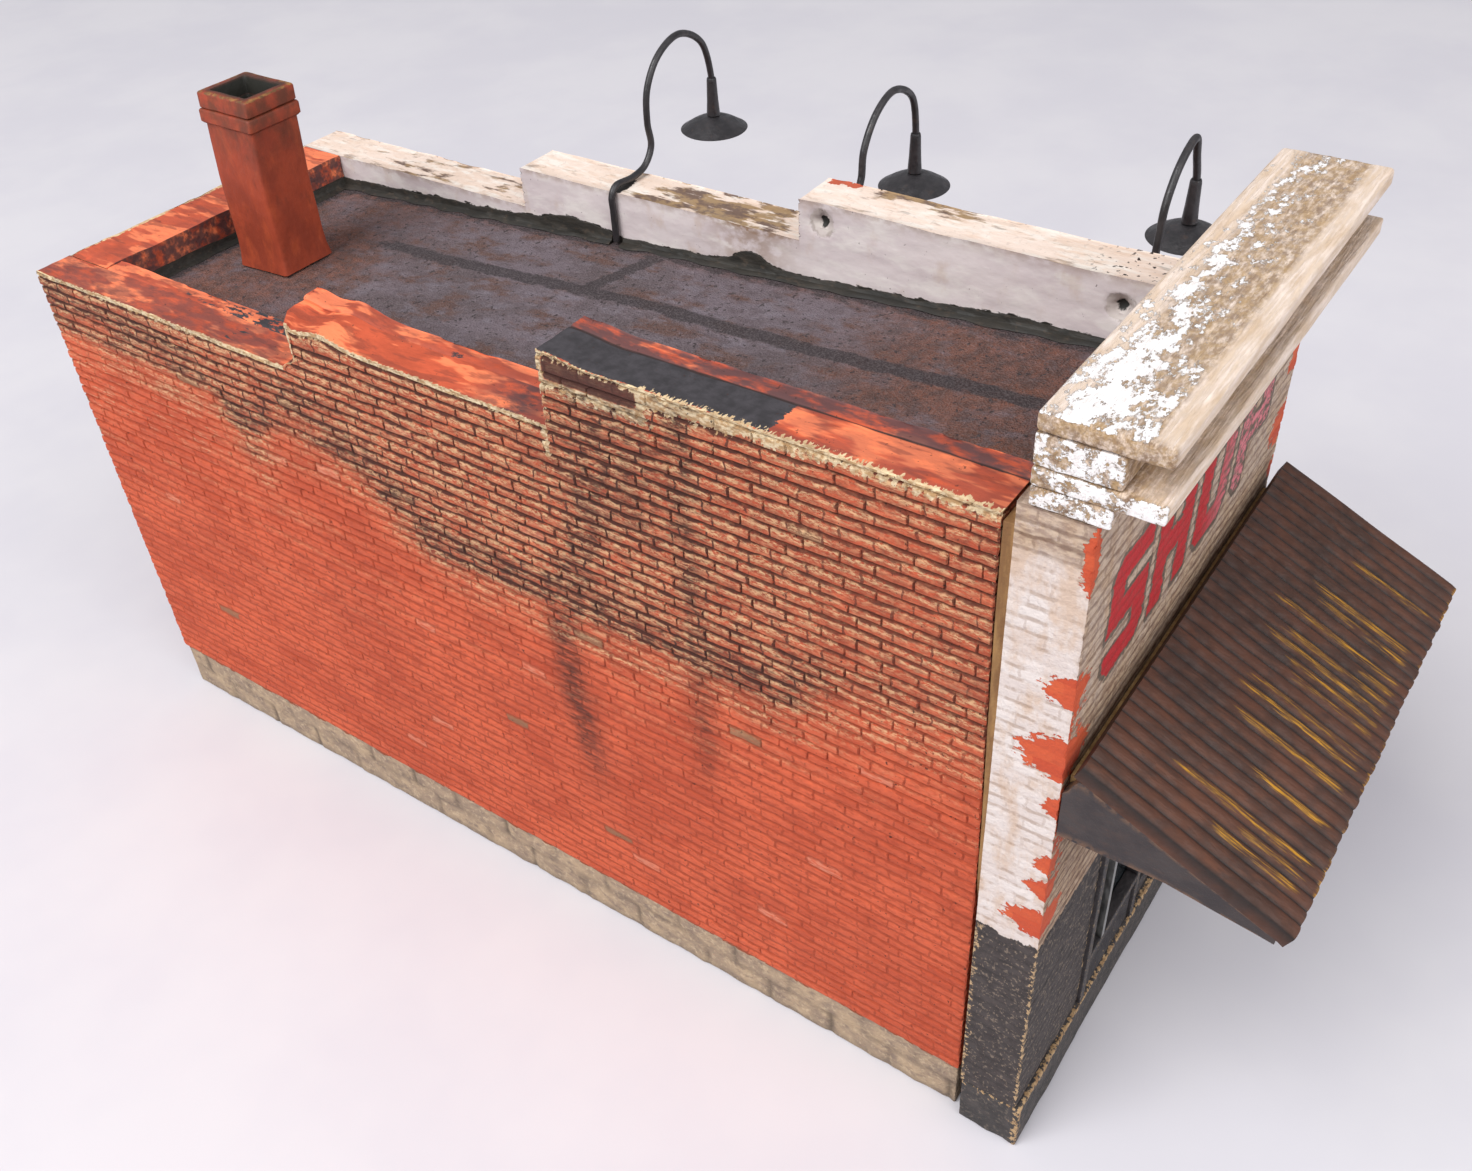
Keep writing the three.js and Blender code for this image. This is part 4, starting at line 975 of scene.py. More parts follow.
def left_wall():
    """Brickwork inside a twice stepped outline, facing left, whose parapet is then worn out of true."""
    rows = brick_rows(Z_HIGH - BASE, PILLOWED)
    rows = with_stations(rows, [Z_LOW - BASE, Z_MID - BASE, Z_HIGH - BASE])
    columns = with_stations(brick_columns(0, LENGTH), [0, STEP_HIGH, STEP_MID_LEFT, LENGTH])
    depths = [0.12, 0.4, 0.9, 1.5, 2.2, LEFT_HIGH[0]]

    def place(p):
        return np.stack([p[:, 1], p[:, 0], p[:, 2] + BASE], 1)

    outline = stepped_outline(Z_HIGH, STEP_MID_LEFT, LENGTH, BASE)
    points, faces, paint, uv, _, behind = casting(
        outline, columns, rows, depths, place, groove_depth, seed=1.0
    )
    masks = wall_masks(points, Z_HIGH, STEP_MID_LEFT)
    x, y, z = points.T
    on_high = z > Z_MID + 1
    charcoal = ramp(x, 0.1, 0.4) * ramp(y, TARRED_FROM, TARRED_FROM + 0.3) * on_high
    masks["tar"] = charcoal + 0.35 * bump_at(y, 57, 1.0) + 0.25 * bump_at(y, 30, 1.5)
    masks["smudge"] = 0.35 * on_high + 0.6 * ramp(y, 51, 52) + 0.9 * bump_at(y, 31, 3.0) * ~on_high
    # The cream edge runs on to the sawn top, in spikes along the front of the high length.
    spiked = on_high & (y < SPIKES_END)
    masks["past_edge"] = np.where(behind, x - np.where(spiked, 0.36, 0.2), masks["past_edge"])
    masks["fray"] = np.where(behind, np.where(spiked, 0.6, 0.2), masks["fray"])
    points = worn_ends(points)
    faces = outward(points, faces)
    materials = [BRICK_PAINT, TOP_PAINT, STONE, BARE_TIMBER]
    piece(
        "left_wall_brickwork", points, faces, materials, ["left_wall"], paint, uv, masks
    )


def upstand(y):
    """How high the tar is brushed up the right parapet: a thin line with three swells."""
    swells = 0.25 * bump_at(y, 12, 3) + 1.0 * bump_at(y, 32, 1.7) + 0.65 * bump_at(y, 48.5, 3.2)
    return 0.32 + swells + 0.2 * ramp(y, 43, 45)


def right_wall():
    """The same outline turned to face right, with holes for the lamps' wires broken through."""
    near_holes = [hole_y + side for hole_y, _ in LAMP_HOLES for side in (-0.34, 0, 0.34)]
    near_levels = [hole_z - BASE + side for _, hole_z in LAMP_HOLES for side in (-0.34, 0, 0.34)]
    columns = with_stations(brick_columns(0, LENGTH), near_holes)
    columns = with_stations(columns, [0, STEP_HIGH, STEP_MID_RIGHT, LENGTH])
    rows = with_stations(brick_rows(Z_RIGHT - BASE), near_levels)
    rows = with_stations(rows, [Z_LOW - BASE, Z_MID - BASE, Z_RIGHT - BASE])
    thick = RIGHT_HIGH[0] - RIGHT_LOW[0]
    depths = [0.12, 0.5, 1.2, 2.0, 3.0, thick - 0.15, thick]

    def place(p):
        return np.stack([RIGHT_HIGH[0] - p[:, 1], p[:, 0], p[:, 2] + BASE], 1)

    outline = stepped_outline(Z_RIGHT, STEP_MID_RIGHT, LENGTH, BASE)
    made = casting(outline, columns, rows, depths, place, groove_depth, 34.0, 2.0)
    points, faces, paint, uv, local, behind = made
    masks = wall_masks(points, Z_RIGHT, STEP_MID_RIGHT, 0.3)
    y, z = points[:, 1], points[:, 2]
    # A stem hole in the brick face, and a broken-out dish with a pit in the painted inner face.
    on_face, on_back = ~behind, local[:, 1] > thick - 0.01
    for hole_y, hole_z in LAMP_HOLES:
        off = np.hypot(y - hole_y, z - hole_z)
        points[:, 0] -= on_face * 0.9 * ramp(off, 0.5, 0.28)
        dish = 0.22 * ramp(off, PIT_DISH, PIT_DISH - 0.3) + 0.35 * ramp(off, 0.5, 0.3)
        points[:, 0] += on_back * dish
    points[:, 0] += on_back * 0.05 * (1 + rough(points[:, 1:], (3.0, 1.8), 6.0))
    line = roof_height(y) + upstand(y) + 0.1 * noise(np.stack([y, y], 1), (1.1, 1.1), 3.0)
    smear = 1.2 * bump_at(y, HOOK_Y, 0.4) * ramp(points[:, 0], 29.9, 27.5)
    masks["tar"] = np.where(on_back, 0.5 - (z - line), smear)
    below = top_of(y, Z_RIGHT, STEP_MID_RIGHT) - z
    outer = ramp(points[:, 0], 28.3, 29.7)
    top_stain = 0.12 + 0.55 * ramp(y, 29, 31) * ramp(y, 43, 41)
    top_stain += 0.3 * bump_at(y, 66, 4) + 0.25 * bump_at(y, 57, 2)
    top_stain = np.maximum(top_stain, 0.75 * ramp(y, 15, 17) * ramp(y, 25, 23) * outer)
    masks["stain"] = np.where(on_back, 0.5 * ramp(below, 0.6, 0.0) + 0.6 * bump_at(y, 32, 3.0), top_stain)
    masks["brick"] = 0.9 * bump_at(y, 26.5, 1.6) * outer
    masks["speck"] = 0.12 + 0.88 * ramp(y, 9, 6)
    faces = outward(points, faces)
    materials = [BRICK_PAINT, CREAM_TOP, STONE, WHITE_PAINT]
    piece(
        "right_wall_brickwork", points, faces, materials, ["right_wall"], paint, uv,
        masks,
    )


def rear_wall():
    """A plain oblong of brickwork, facing back, its top edge at the side walls' lowest length."""
    start, end = REAR_LOW[0], REAR_HIGH[0]
    thick = REAR_HIGH[1] - REAR_LOW[1]
    depths = [0.12, 0.5, 1.2, 2.2, 3.2, thick - 0.15, thick]

    def place(p):
        return np.stack([p[:, 0], LENGTH - p[:, 1], p[:, 2] + BASE], 1)

    outline = [(start, 0), (end, 0), (end, Z_LOW - BASE), (start, Z_LOW - BASE)]
    rows = brick_rows(Z_LOW - BASE)
    columns = brick_columns(start, end)
    made = casting(outline, columns, rows, depths, place, groove_depth, 32.0, 3.0, 0.0)
    points, faces, paint, uv, local, behind = made
    x, y, z = points.T
    uv = uv + np.array([LENGTH, 0])
    streak = rough(points[:, [0, 2]], (1.6, 7.0), 8.0)
    on_top = behind & (z > Z_LOW - 0.4)
    past_face = np.where(local[:, 1] > 1, 9.0, Z_LOW - z - 0.35)
    masks = {
        "cream": 0.35 * ramp(z, 22, 38) + 0.3 * ramp(Z_LOW - z, 1.0, 0.2),
        "soot": 0.25 + 0.4 * ramp(streak, 0.0, 0.6) + 0.2 * ramp(z, 26, 38),
        "joints": 0.2 + 0.7 * ramp(z, 24, 36),
        "stroke": 0.3,
        "past_edge": np.where(on_top, LENGTH - y - 0.25, past_face),
        "fray": 0.3,
        "panel": 9.0,
        # Purple-grey over nearly all the inner face: painted shade.
        "smudge": np.where(local[:, 1] > thick - 0.1, 0.9, 0.2),
        "tar": 0.3 * ramp(z - roof_height(y), 1.0, 0.4) * (local[:, 1] > 1),
    }
    faces = outward(points, faces)
    materials = [BRICK_PAINT, TOP_PAINT, STONE, TOP_PAINT]
    piece(
        "rear_wall_brickwork", points, faces, materials, ["rear_wall"], paint, uv, masks
    )


def backing_strip():
    """The strip glued behind the left parapet: a stepped slab with a softly uneven top and inner face."""
    low, high = BACKING_LOW, BACKING_HIGH
    columns = with_stations(np.linspace(0, high[1], 260), [0, STEP_HIGH, STEP_MID_LEFT, high[1]])
    rows = np.linspace(0, Z_HIGH - low[2], 50)
    rows = with_stations(rows, [Z_LOW - low[2], Z_MID - low[2], Z_HIGH - low[2]])
    depths = [0.12, 0.35, 0.7, 1.05, 1.28, high[0] - low[0]]

    def place(p):
        return np.stack([high[0] - p[:, 1], p[:, 0], p[:, 2] + low[2]], 1)

    def smooth(flat):
        return 0.0 * flat[:, 0]

    outline = stepped_outline(Z_HIGH, STEP_MID_LEFT, high[1], low[2])
    points, faces, _, uv, local, _ = casting(outline, columns, rows, depths, place, smooth, seed=4.0)
    # The groove between this strip and the wall casting: its own far edge is rubbed down.
    points[:, 2] -= 0.16 * ramp(local[:, 1], 1.2, 1.4) * (points[:, 2] > Z_LOW - 1)
    y, z = points[:, 1], points[:, 2]
    tar_film = 0.25 * bump_at(y, 38.0, 3.0) + 0.8 * ramp(z - roof_height(y), 2.4, 0.8)
    on_high = z > Z_MID + 1
    masks = {"tar": tar_film, "smudge": 0.3 + 0.6 * on_high, "past_edge": 9.0, "fray": 0.0}
    points = worn_ends(points)
    points[:, 2] += 0.3 * ramp(y, 44, 50) * ramp(z, Z_MID - 1.5, Z_MID)
    faces = outward(points, faces)
    nodes = ["left_parapet_backing"]
    piece(
        "left_parapet_backing_strip", points, faces, [TOP_PAINT], nodes, None, uv, masks
    )


# ---------------------------------------------------------------- front

LETTER_BOTTOM, LETTER_TOP = 38.6, 46.0
LETTER_WIDE, LETTER_GAP, STROKE = 4.9, 1.1, 1.65
SIGN_LEFT = 2.8
CHAMFER = 0.8


def bar(x, z, x0, x1, z0, z1):
    """Signed distance to an upright rectangle, negative inside."""
    return np.maximum(
        np.abs(x - (x0 + x1) / 2) - (x1 - x0) / 2, np.abs(z - (z0 + z1) / 2) - (z1 - z0) / 2
    )


def sign_distance(x, z):
    """Signed distance to the painted word, each letter a few rectangles inside a box with cut corners."""
    low, high, middle = LETTER_BOTTOM, LETTER_TOP, (LETTER_BOTTOM + LETTER_TOP) / 2
    s, w, half = STROKE, LETTER_WIDE, STROKE / 2
    strokes = {
        "S": [
            (0, w, low, low + s),
            (0, w, middle - half, middle + half),
            (0, w, high - s, high),
            (0, s, middle, high),
            (w - s, w, low, middle),
        ],
        "H": [(0, s, low, high), (w - s, w, low, high), (0, w, middle - half, middle + half)],
        "O": [(0, w, low, low + s), (0, w, high - s, high), (0, s, low, high), (w - s, w, low, high)],
        "P": [
            (0, s, low, high), (0, w, high - s, high), (0, w, middle - half, middle + half),
            (w - s, w, middle, high),
        ],
    }
    nearest = np.full(np.shape(x), 9.0)
    for place, letter in enumerate("SHOP"):
        left = SIGN_LEFT + place * (w + LETTER_GAP)
        shape = np.full(np.shape(x), 9.0)
        for x0, x1, z0, z1 in strokes[letter]:
            shape = np.minimum(shape, bar(x, z, left + x0, left + x1, z0, z1))
        if letter != "H":
            reach = w / 2 + (high - low) / 2 - CHAMFER
            cut = (np.abs(x - left - w / 2) + np.abs(z - middle) - reach) / math.sqrt(2)
            shape = np.maximum(shape, cut)
        nearest = np.minimum(nearest, shape)
    return nearest


# Bare places on the front corners: centre height, half height and reach along the return.
BARE_PLACES = [
    (48.4, 2.0, 0.6),
    (40.4, 1.1, 1.7),
    (35.9, 1.5, 2.6),
    (32.5, 0.8, 0.9),
    (28.0, 0.8, 1.0),
    (25.9, 0.8, 1.3),
    (22.9, 1.2, 2.4),
]


def facade():
    """The front casting: brickwork with a shopfront opening, its returns keeping the courses."""
    low, high = FACADE_LOW, FACADE_HIGH
    opening_left, opening_right, opening_top = FRAME_LOW[0], FRAME_HIGH[0], FRAME_HIGH[2]
    fine = np.arange(low[0] + 0.2, high[0] - 0.1, 0.17)
    columns = with_stations(fine, [low[0], opening_left, opening_right, high[0]])
    lift = low[2]
    rows = with_stations(brick_rows(high[2] - lift, PILLOWED), [opening_top - lift, high[2] - lift])
    outline = [
        (low[0], 0),
        (opening_left, 0),
        (opening_left, opening_top - lift),
        (opening_right, opening_top - lift),
        (opening_right, 0),
        (high[0], 0),
        (high[0], high[2] - lift),
        (low[0], high[2] - lift),
    ]
    thick = high[1] - low[1]
    depths = [0.12, 0.4, 0.8, 1.3, 1.9, 2.6, 3.3, thick]

    def place(p):
        return np.stack([p[:, 0], low[1] + p[:, 1], p[:, 2] + lift], 1)

    def shallow(flat):
        return 0.06 + 0.02 * noise(flat, (3.0, 1.5), 7.0)

    made = casting(outline, columns, rows, depths, place, shallow, seed=5.0, edge_joints=0.3)
    points, faces, _, uv, _, behind = made
    x, y, z = points.T
    left_corner = np.hypot(x - low[0], y - low[1])
    right_corner = np.hypot(x - high[0], y - low[1])
    corner = np.minimum(left_corner, right_corner)
    bare = np.zeros(len(points))
    for level, tall, reach in BARE_PLACES:
        bare = np.maximum(
            bare, 1.15 * ramp(np.hypot(left_corner / reach, (z - level) / tall), 1.35, 0.55)
        )
        bare = np.maximum(
            bare, 0.9 * ramp(np.hypot(right_corner / reach, (z - level - 3) / tall), 1.3, 0.6)
        )
    on_front = ~behind
    bare = np.maximum(bare, 0.52 * on_front * ramp(x, 2.2, 0.3) * ramp(z, 24, 28) * ramp(z, 44, 38))
    grime = np.where(on_front, 0.8 + 0.2 * ramp(z, 38.5, 36.5), 0.04 + 0.8 * ramp(z, 47.3, 48.6))
    wear = np.maximum(ramp(corner, 0.45, 0.05), 0.8 * ramp(np.abs(y - high[1]), 0.4, 0.05))
    wear = np.maximum(wear, 0.7 * ramp(np.abs(x - opening_left), 0.35, 0.1) * on_front)
    letters = np.where(on_front, sign_distance(x, z), 9.0)
    masks = {"bare": bare, "grime": grime, "wear": wear, "sign": letters}
    faces = outward(points, faces)
    piece("facade_brickwork", points, faces, [SHOP_PAINT], ["facade"], None, uv, masks)


# ---------------------------------------------------------------- footings and strips


def footings():
    """Coursed stone under the walls: long blocks whose faces bulge between random joints."""
    for number, name in enumerate(["left_footing", "right_footing", "rear_footing"]):
        low, high = span(name)
        points, faces = soft_block(low, high, 0.18, 0.42, 0.2, (0.9, 1.6, 0.9), 30.0 + number)
        run = points[:, 0] if name == "rear_footing" else points[:, 1]
        bed = np.abs(points[:, 2] - 2.3 - 0.25 * noise(run[:, None], (5.0,), 11.0))
        stone_length = 5.2
        upper = points[:, 2] > 2.3
        phase = (run + np.where(upper, 2.4, 0.0) + 0.8 * noise(run[:, None], (3.0,), 12.0)) / stone_length
        head = np.abs(phase - np.round(phase)) * stone_length
        crack = np.maximum(ramp(bed, 0.34, 0.05) * 0.55, ramp(head, 0.34, 0.05))
        crack = crack * (0.4 + 0.6 * ramp(noise(points, (2.0, 2.0, 1.2), 13.0), -0.4, 0.3))
        centre = (low + high) / 2
        outer = np.zeros(3)
        outer[0 if name != "rear_footing" else 1] = 1
        side = np.sign((points - centre) @ outer)
        face = ramp(
            np.abs((points - centre) @ outer), (high - low) @ outer / 2 - 0.4, (high - low) @ outer / 2
        )
        points = points - (crack * 0.12 * side * face)[:, None] * outer
        piece(
            name.replace("footing", "stone_footing"), points, faces, [STONE], [name],
            masks={"crack": crack},
        )


# The wash mask is raised behind this line as painted shade under the cap.
CORNICE_SHADE = -6.0  # behind this line the strips lie under the cap


def cornice():
    """Four timber strips in a stack; the white flakes lie on the cap's top and the left ends."""
    names = ["cornice_frieze", "cornice_moulding", "cornice_neck", "cornice_cap"]
    for number, name in enumerate(names):
        low, high = span(name)
        radius = 0.28 if name == "cornice_cap" else 0.16
        points, faces = soft_block(low, high, radius, 0.34, 0.07, (2.6, 0.7, 0.6), 40.0 + number)
        x, y, z = points.T
        if name == "cornice_cap":
            top = ramp(z, high[2] - 0.25, high[2] - 0.1)
            back = (y - low[1]) / (high[1] - low[1])
            reach = ramp(x, 33, 2)
            flake = top * (
                0.22 + 0.44 * bump_at(back, 0.66, 0.3) * (0.6 + 0.4 * reach) + 0.2 * ramp(x, 8.5, 4.0)
            )
            flake = flake * ramp(back, 0.14, 0.22)
            wash = 0.12 + 0.75 * ramp(back, 0.14, 0.22) * ramp(back, 0.85, 0.7) * top
            # The cap's left end and its underside are browner; on the underside this is painted shade.
            wash = wash + 0.8 * ramp(x, low[0] + 0.5, low[0] + 0.1) + 0.5 * ramp(z, low[2] + 0.35, low[2])
        else:
            end = ramp(x, low[0] + 0.3, low[0] + 0.05)
            flake = end * (0.58 + 0.25 * noise(points, (1.0, 1.6, 0.9), 50.0)) + 0.12
            # Browner behind CORNICE_SHADE, where the strips lie under the cap: painted shade.
            wash = 0.55 + 0.45 * end + 0.4 * ramp(y, CORNICE_SHADE, CORNICE_SHADE + 1.0)
            if name == "cornice_moulding":
                wash = wash - 0.35 * ramp(y, -6.3, -6.9) * (1 - end)
        piece(
            name + "_strip", points, faces, [CREAM_TIMBER], [name],
            masks={"flake": flake, "wash": np.clip(wash, 0, 1)},
        )


def plinth():
    """A softened block; its chips follow the distance from its top front edge and its left ends."""
    low, high = span("plinth")
    points, faces = soft_block(low, high, 0.22, 0.4, 0.2, (1.6, 1.2, 0.9), 60.0)
    edge = ramp(np.hypot(points[:, 1] - low[1], points[:, 2] - high[2]), 0.62, 0.15)
    upright = ramp(np.hypot(points[:, 0] - low[0], points[:, 1] - low[1]), 0.8, 0.2) * 0.8
    ends = ramp(np.hypot(points[:, 0] - low[0], points[:, 2] - high[2]), 0.6, 0.15) * 0.55
    masks = {"edge": np.maximum(np.maximum(edge, upright), ends)}
    piece("plinth_stone", points, faces, [PLINTH_PAINT], ["plinth"], masks=masks)


def joint_strips():
    """Tan packing in the joint between wall and front; it narrows downwards, so the joint gapes dark."""
    for name in ["left_joint_strip", "right_joint_strip"]:
        low, high = span(name)
        points, faces = soft_block(low, high, 0.08, 0.5, 0.05, (1, 1, 2.5), 70.0)
        outer = low[0] if name == "left_joint_strip" else high[0]
        inner = high[0] + low[0] - outer
        share = ramp(np.abs(points[:, 0] - outer), 1.2, 0.0)
        back = 0.9 * ramp(points[:, 2], 24.0, 18.0) * share
        points[:, 0] += back * np.sign(inner - outer)
        if name == "left_joint_strip":
            behind = (points[:, 1] - low[1]) / (high[1] - low[1])
            points[:, 1] += END_LEAN * ramp(points[:, 2], 20, 48) * behind
        piece(name.replace("strip", "packing"), points, faces, [GAP_FILLER], [name])


# ---------------------------------------------------------------- roof

SEAM_X, SEAM_Y = 18.5, 41.4


def roof():
    """The roof sheet: even grid on the sloping plane, humped along its two tarred seams."""
    low, high = ROOF_LOW, ROOF_HIGH
    x, y = np.meshgrid(np.linspace(low[0], high[0], 90), np.linspace(low[1], high[1], 280))
    flat = np.stack([x, y], -1)
    wander = x - SEAM_X - 0.35 * noise(y[..., None], (9.0,), 80.0) - 0.15 * noise(
        y[..., None], (2.0,), 82.0
    )
    along = ramp(np.abs(wander), 1.05, 0.3) * ramp(y, 63, 60)
    across = ramp(np.abs(y - SEAM_Y + 0.3 * (x - SEAM_X)), 1.05, 0.3) * ramp(
        x, SEAM_X - 0.5, SEAM_X + 0.5
    )
    seam = np.maximum(along, across)
    edge = np.minimum.reduce([x - low[0], high[0] - x, y - low[1], high[1] - y])
    near = ramp(edge, 2.2, 0.5)
    z = roof_height(y) - 0.10 * (1 - 0.5 * seam) - 0.05 * (1 + rough(flat, (2.2, 3.0), 81.0))
    top = np.stack([x, y, z], -1)
    bottom = top.copy()
    bottom[..., 2] = roof_height(y) - 0.98
    points, faces = slab(top, bottom)
    chimney_low, chimney_high = span("chimney_stack")
    around = np.hypot(
        x - (chimney_low[0] + chimney_high[0]) / 2, (y - (chimney_low[1] + chimney_high[1]) / 2) * 0.8
    )
    # Rusty at the front and back and browner near every edge; round the chimney and in a band along the
    # left side, under the high parapet, this is painted shadow.
    rust = 0.6 * ramp(y, 52, 68) + ramp(around, 7.5, 3.5) + ramp(y, 24, 14)
    rust = np.clip(rust + 0.6 * ramp(x, 9, 5) + 0.7 * near, 0, 1)
    masks = {"seam": np.tile(np.maximum(seam, 0.9 * near).ravel(), 2), "rust": np.tile(rust.ravel(), 2)}
    piece("roof_sheet", points, faces, [ROOF_PAPER], ["roof_panel"], masks=masks)


def flashings():
    """Tar brushed up the parapets: a ribbon along each edge of the roof whose top rises and falls and
    whose foot thins out over the sheet."""
    right_face = RIGHT_LOW[0]
    left_face = BACKING_HIGH[0]
    back, front = REAR_LOW[1], ROOF_LOW[1]
    gap_front, gap_back = span("flashing_right_front")[1][1], span("flashing_right_rear")[0][1]
    runs = {
        "flashing_left": ((left_face, front), (left_face, back), (1, 0), 0),
        "flashing_right_front": ((right_face, front), (right_face, gap_front), (-1, 0), 1),
        "flashing_right_rear": ((right_face, gap_back), (right_face, back), (-1, 0), 2),
        "flashing_rear": ((left_face, back), (right_face, back), (0, -1), 3),
        "flashing_front": ((left_face, front), (right_face, front), (0, 1), 4),
    }
    for name, (start, end, inward, seed) in runs.items():
        start, end, inward = np.array(start, float), np.array(end, float), np.array(inward, float)
        count = int(np.linalg.norm(end - start) / 0.25) + 2
        t = np.linspace(0, 1, count)[:, None]
        line = start + (end - start) * t
        wave = noise(line, (1.9, 1.9), 90.0 + seed) * 0.12 + noise(line, (0.8, 0.8), 91.0 + seed) * 0.06
        rise = (upstand(line[:, 1]) if "right" in name else 0.6) + wave
        foot = 0.7 + 0.25 * noise(line, (1.7, 1.7), 92.0 + seed)
        # Section from the top of the upstand down to the foot, as (out from the wall, height) shares.
        out = np.array([0.0, 0.1, 0.16, 0.22, 0.45, 0.8, 1.0])
        up = np.array([1.0, 0.97, 0.6, 0.25, 0.1, 0.03, -0.12])
        reach = out * np.where(out > 0.3, foot[:, None], 1.0)
        base = roof_height(line[:, 1])
        skin = np.empty((count, len(out), 3))
        skin[..., :2] = line[:, None, :] + reach[..., None] * inward
        skin[..., 2] = base[:, None] + up * np.where(up > 0.2, rise[:, None], 0.7)
        under = skin.copy()
        under[..., :2] = line[:, None, :] - 0.05 * inward + 0.75 * reach[..., None] * inward
        under[..., 2] = np.minimum(
            skin[..., 2] - 0.1, base[:, None] - 0.25 + 0.9 * np.maximum(up, 0) * rise[:, None]
        )
        points, faces = slab(skin, under)
        piece(name + "_tar", points, faces, [TAR], [name])


# ---------------------------------------------------------------- chimney


CHIMNEY_LEAN = 0.06  # how far the stack leans to the right for each mm of height


def square_ring(low, high, section, corner, name, seed):
    """A hollow square carried round: each section point is (offset outward, height), and the ring at that
    offset is a square with rounded corners. The section closes on itself, and so does the ring."""
    centre = (low + high) / 2
    half = (high - low)[:2] / 2
    t = np.linspace(0, 4, 4 * 14, endpoint=False)
    side, part = np.floor(t).astype(int), (t - np.floor(t)) * 2 - 1
    part = np.sign(part) * (1 - (1 - np.abs(part)) ** 1.35)
    around = np.where(
        (side % 2 == 0)[:, None],
        np.stack([part * (1 - side), side - 1.0], 1),
        np.stack([2.0 - side, part * (2 - side)], 1),
    )
    points = np.empty((len(section), len(t), 3))
    for k, (offset, height) in enumerate(section):
        size = half + offset
        flat = around * size
        core = np.clip(flat, -size + corner, size - corner)
        away = flat - core
        away /= np.maximum(np.linalg.norm(away, axis=1, keepdims=True), 1e-9)
        points[k, :, :2] = centre[:2] + core + away * corner
        points[k, :, 2] = height(centre[1] + (core + away * corner)[:, 1]) if callable(height) else height
    shape = points.shape[:2]
    points = points.reshape(-1, 3)
    push = points.copy() - centre
    push[:, 2] = 0
    push /= np.linalg.norm(push, axis=1, keepdims=True)
    points -= push * (0.05 * (1 + rough(points, (1.2, 1.2, 1.8), seed)))[:, None]
    points[:, 0] += CHIMNEY_LEAN * np.clip(points[:, 2] - 46, 0, None)
    grid = np.arange(len(points)).reshape(shape)
    grid = np.concatenate([grid, grid[:, :1]], 1)
    grid = np.concatenate([grid, grid[:1]], 0)
    faces = outward(points, [quads(grid)])
    offsets = np.repeat([o for o, _ in section], shape[1])
    top = span("chimney_rim")[1][2]
    bore = offsets.min()
    masks = {
        "flue": ramp(offsets, bore + 0.12, bore + 0.02),
        "wear": 0.8 * ramp(points[:, 2], top - 0.2, top) * (offsets > bore + 0.12),
    }
    piece(name + "_casting", points, faces, [CHIMNEY_PAINT], [name], masks=masks)


def chimney():
    """The stack, a band and a rim, each a hollow square; the stack's foot follows the roof's slope."""
    low, high = span("chimney_stack")
    wall = 0.6
    levels = np.linspace(0, 1, 12)
    stack_top = span("chimney_band")[0][2]

    def slope(share):
        return lambda y: (1 - share) * (roof_height(y) + 0.02) + share * stack_top

    stack = [(0.16 * max(0.0, 1 - 8 * s), slope(s)) for s in levels]
    stack += [(-wall, slope(s)) for s in levels[::-1]]
    square_ring(low, high, stack, 0.22, "chimney_stack", 100.0)

    def collar(bottom, top, inset):
        soft, bore = 0.14, -wall - inset
        outer = [
            (-soft, bottom), (0.0, bottom + soft), (0.0, top - soft), (-0.05, top - 0.04), (-soft, top)
        ]
        return outer + [(bore + 0.05, top), (bore, top - soft), (bore, bottom)]

    for number, name in enumerate(["chimney_band", "chimney_rim"]):
        ring_low, ring_high = span(name)
        proud = (ring_high - ring_low)[0] / 2 - (high - low)[0] / 2
        section = collar(ring_low[2], ring_high[2], proud)
        square_ring(ring_low, ring_high, section, 0.2, name, 101.0 + number)


# ---------------------------------------------------------------- awning

RIBS = 32


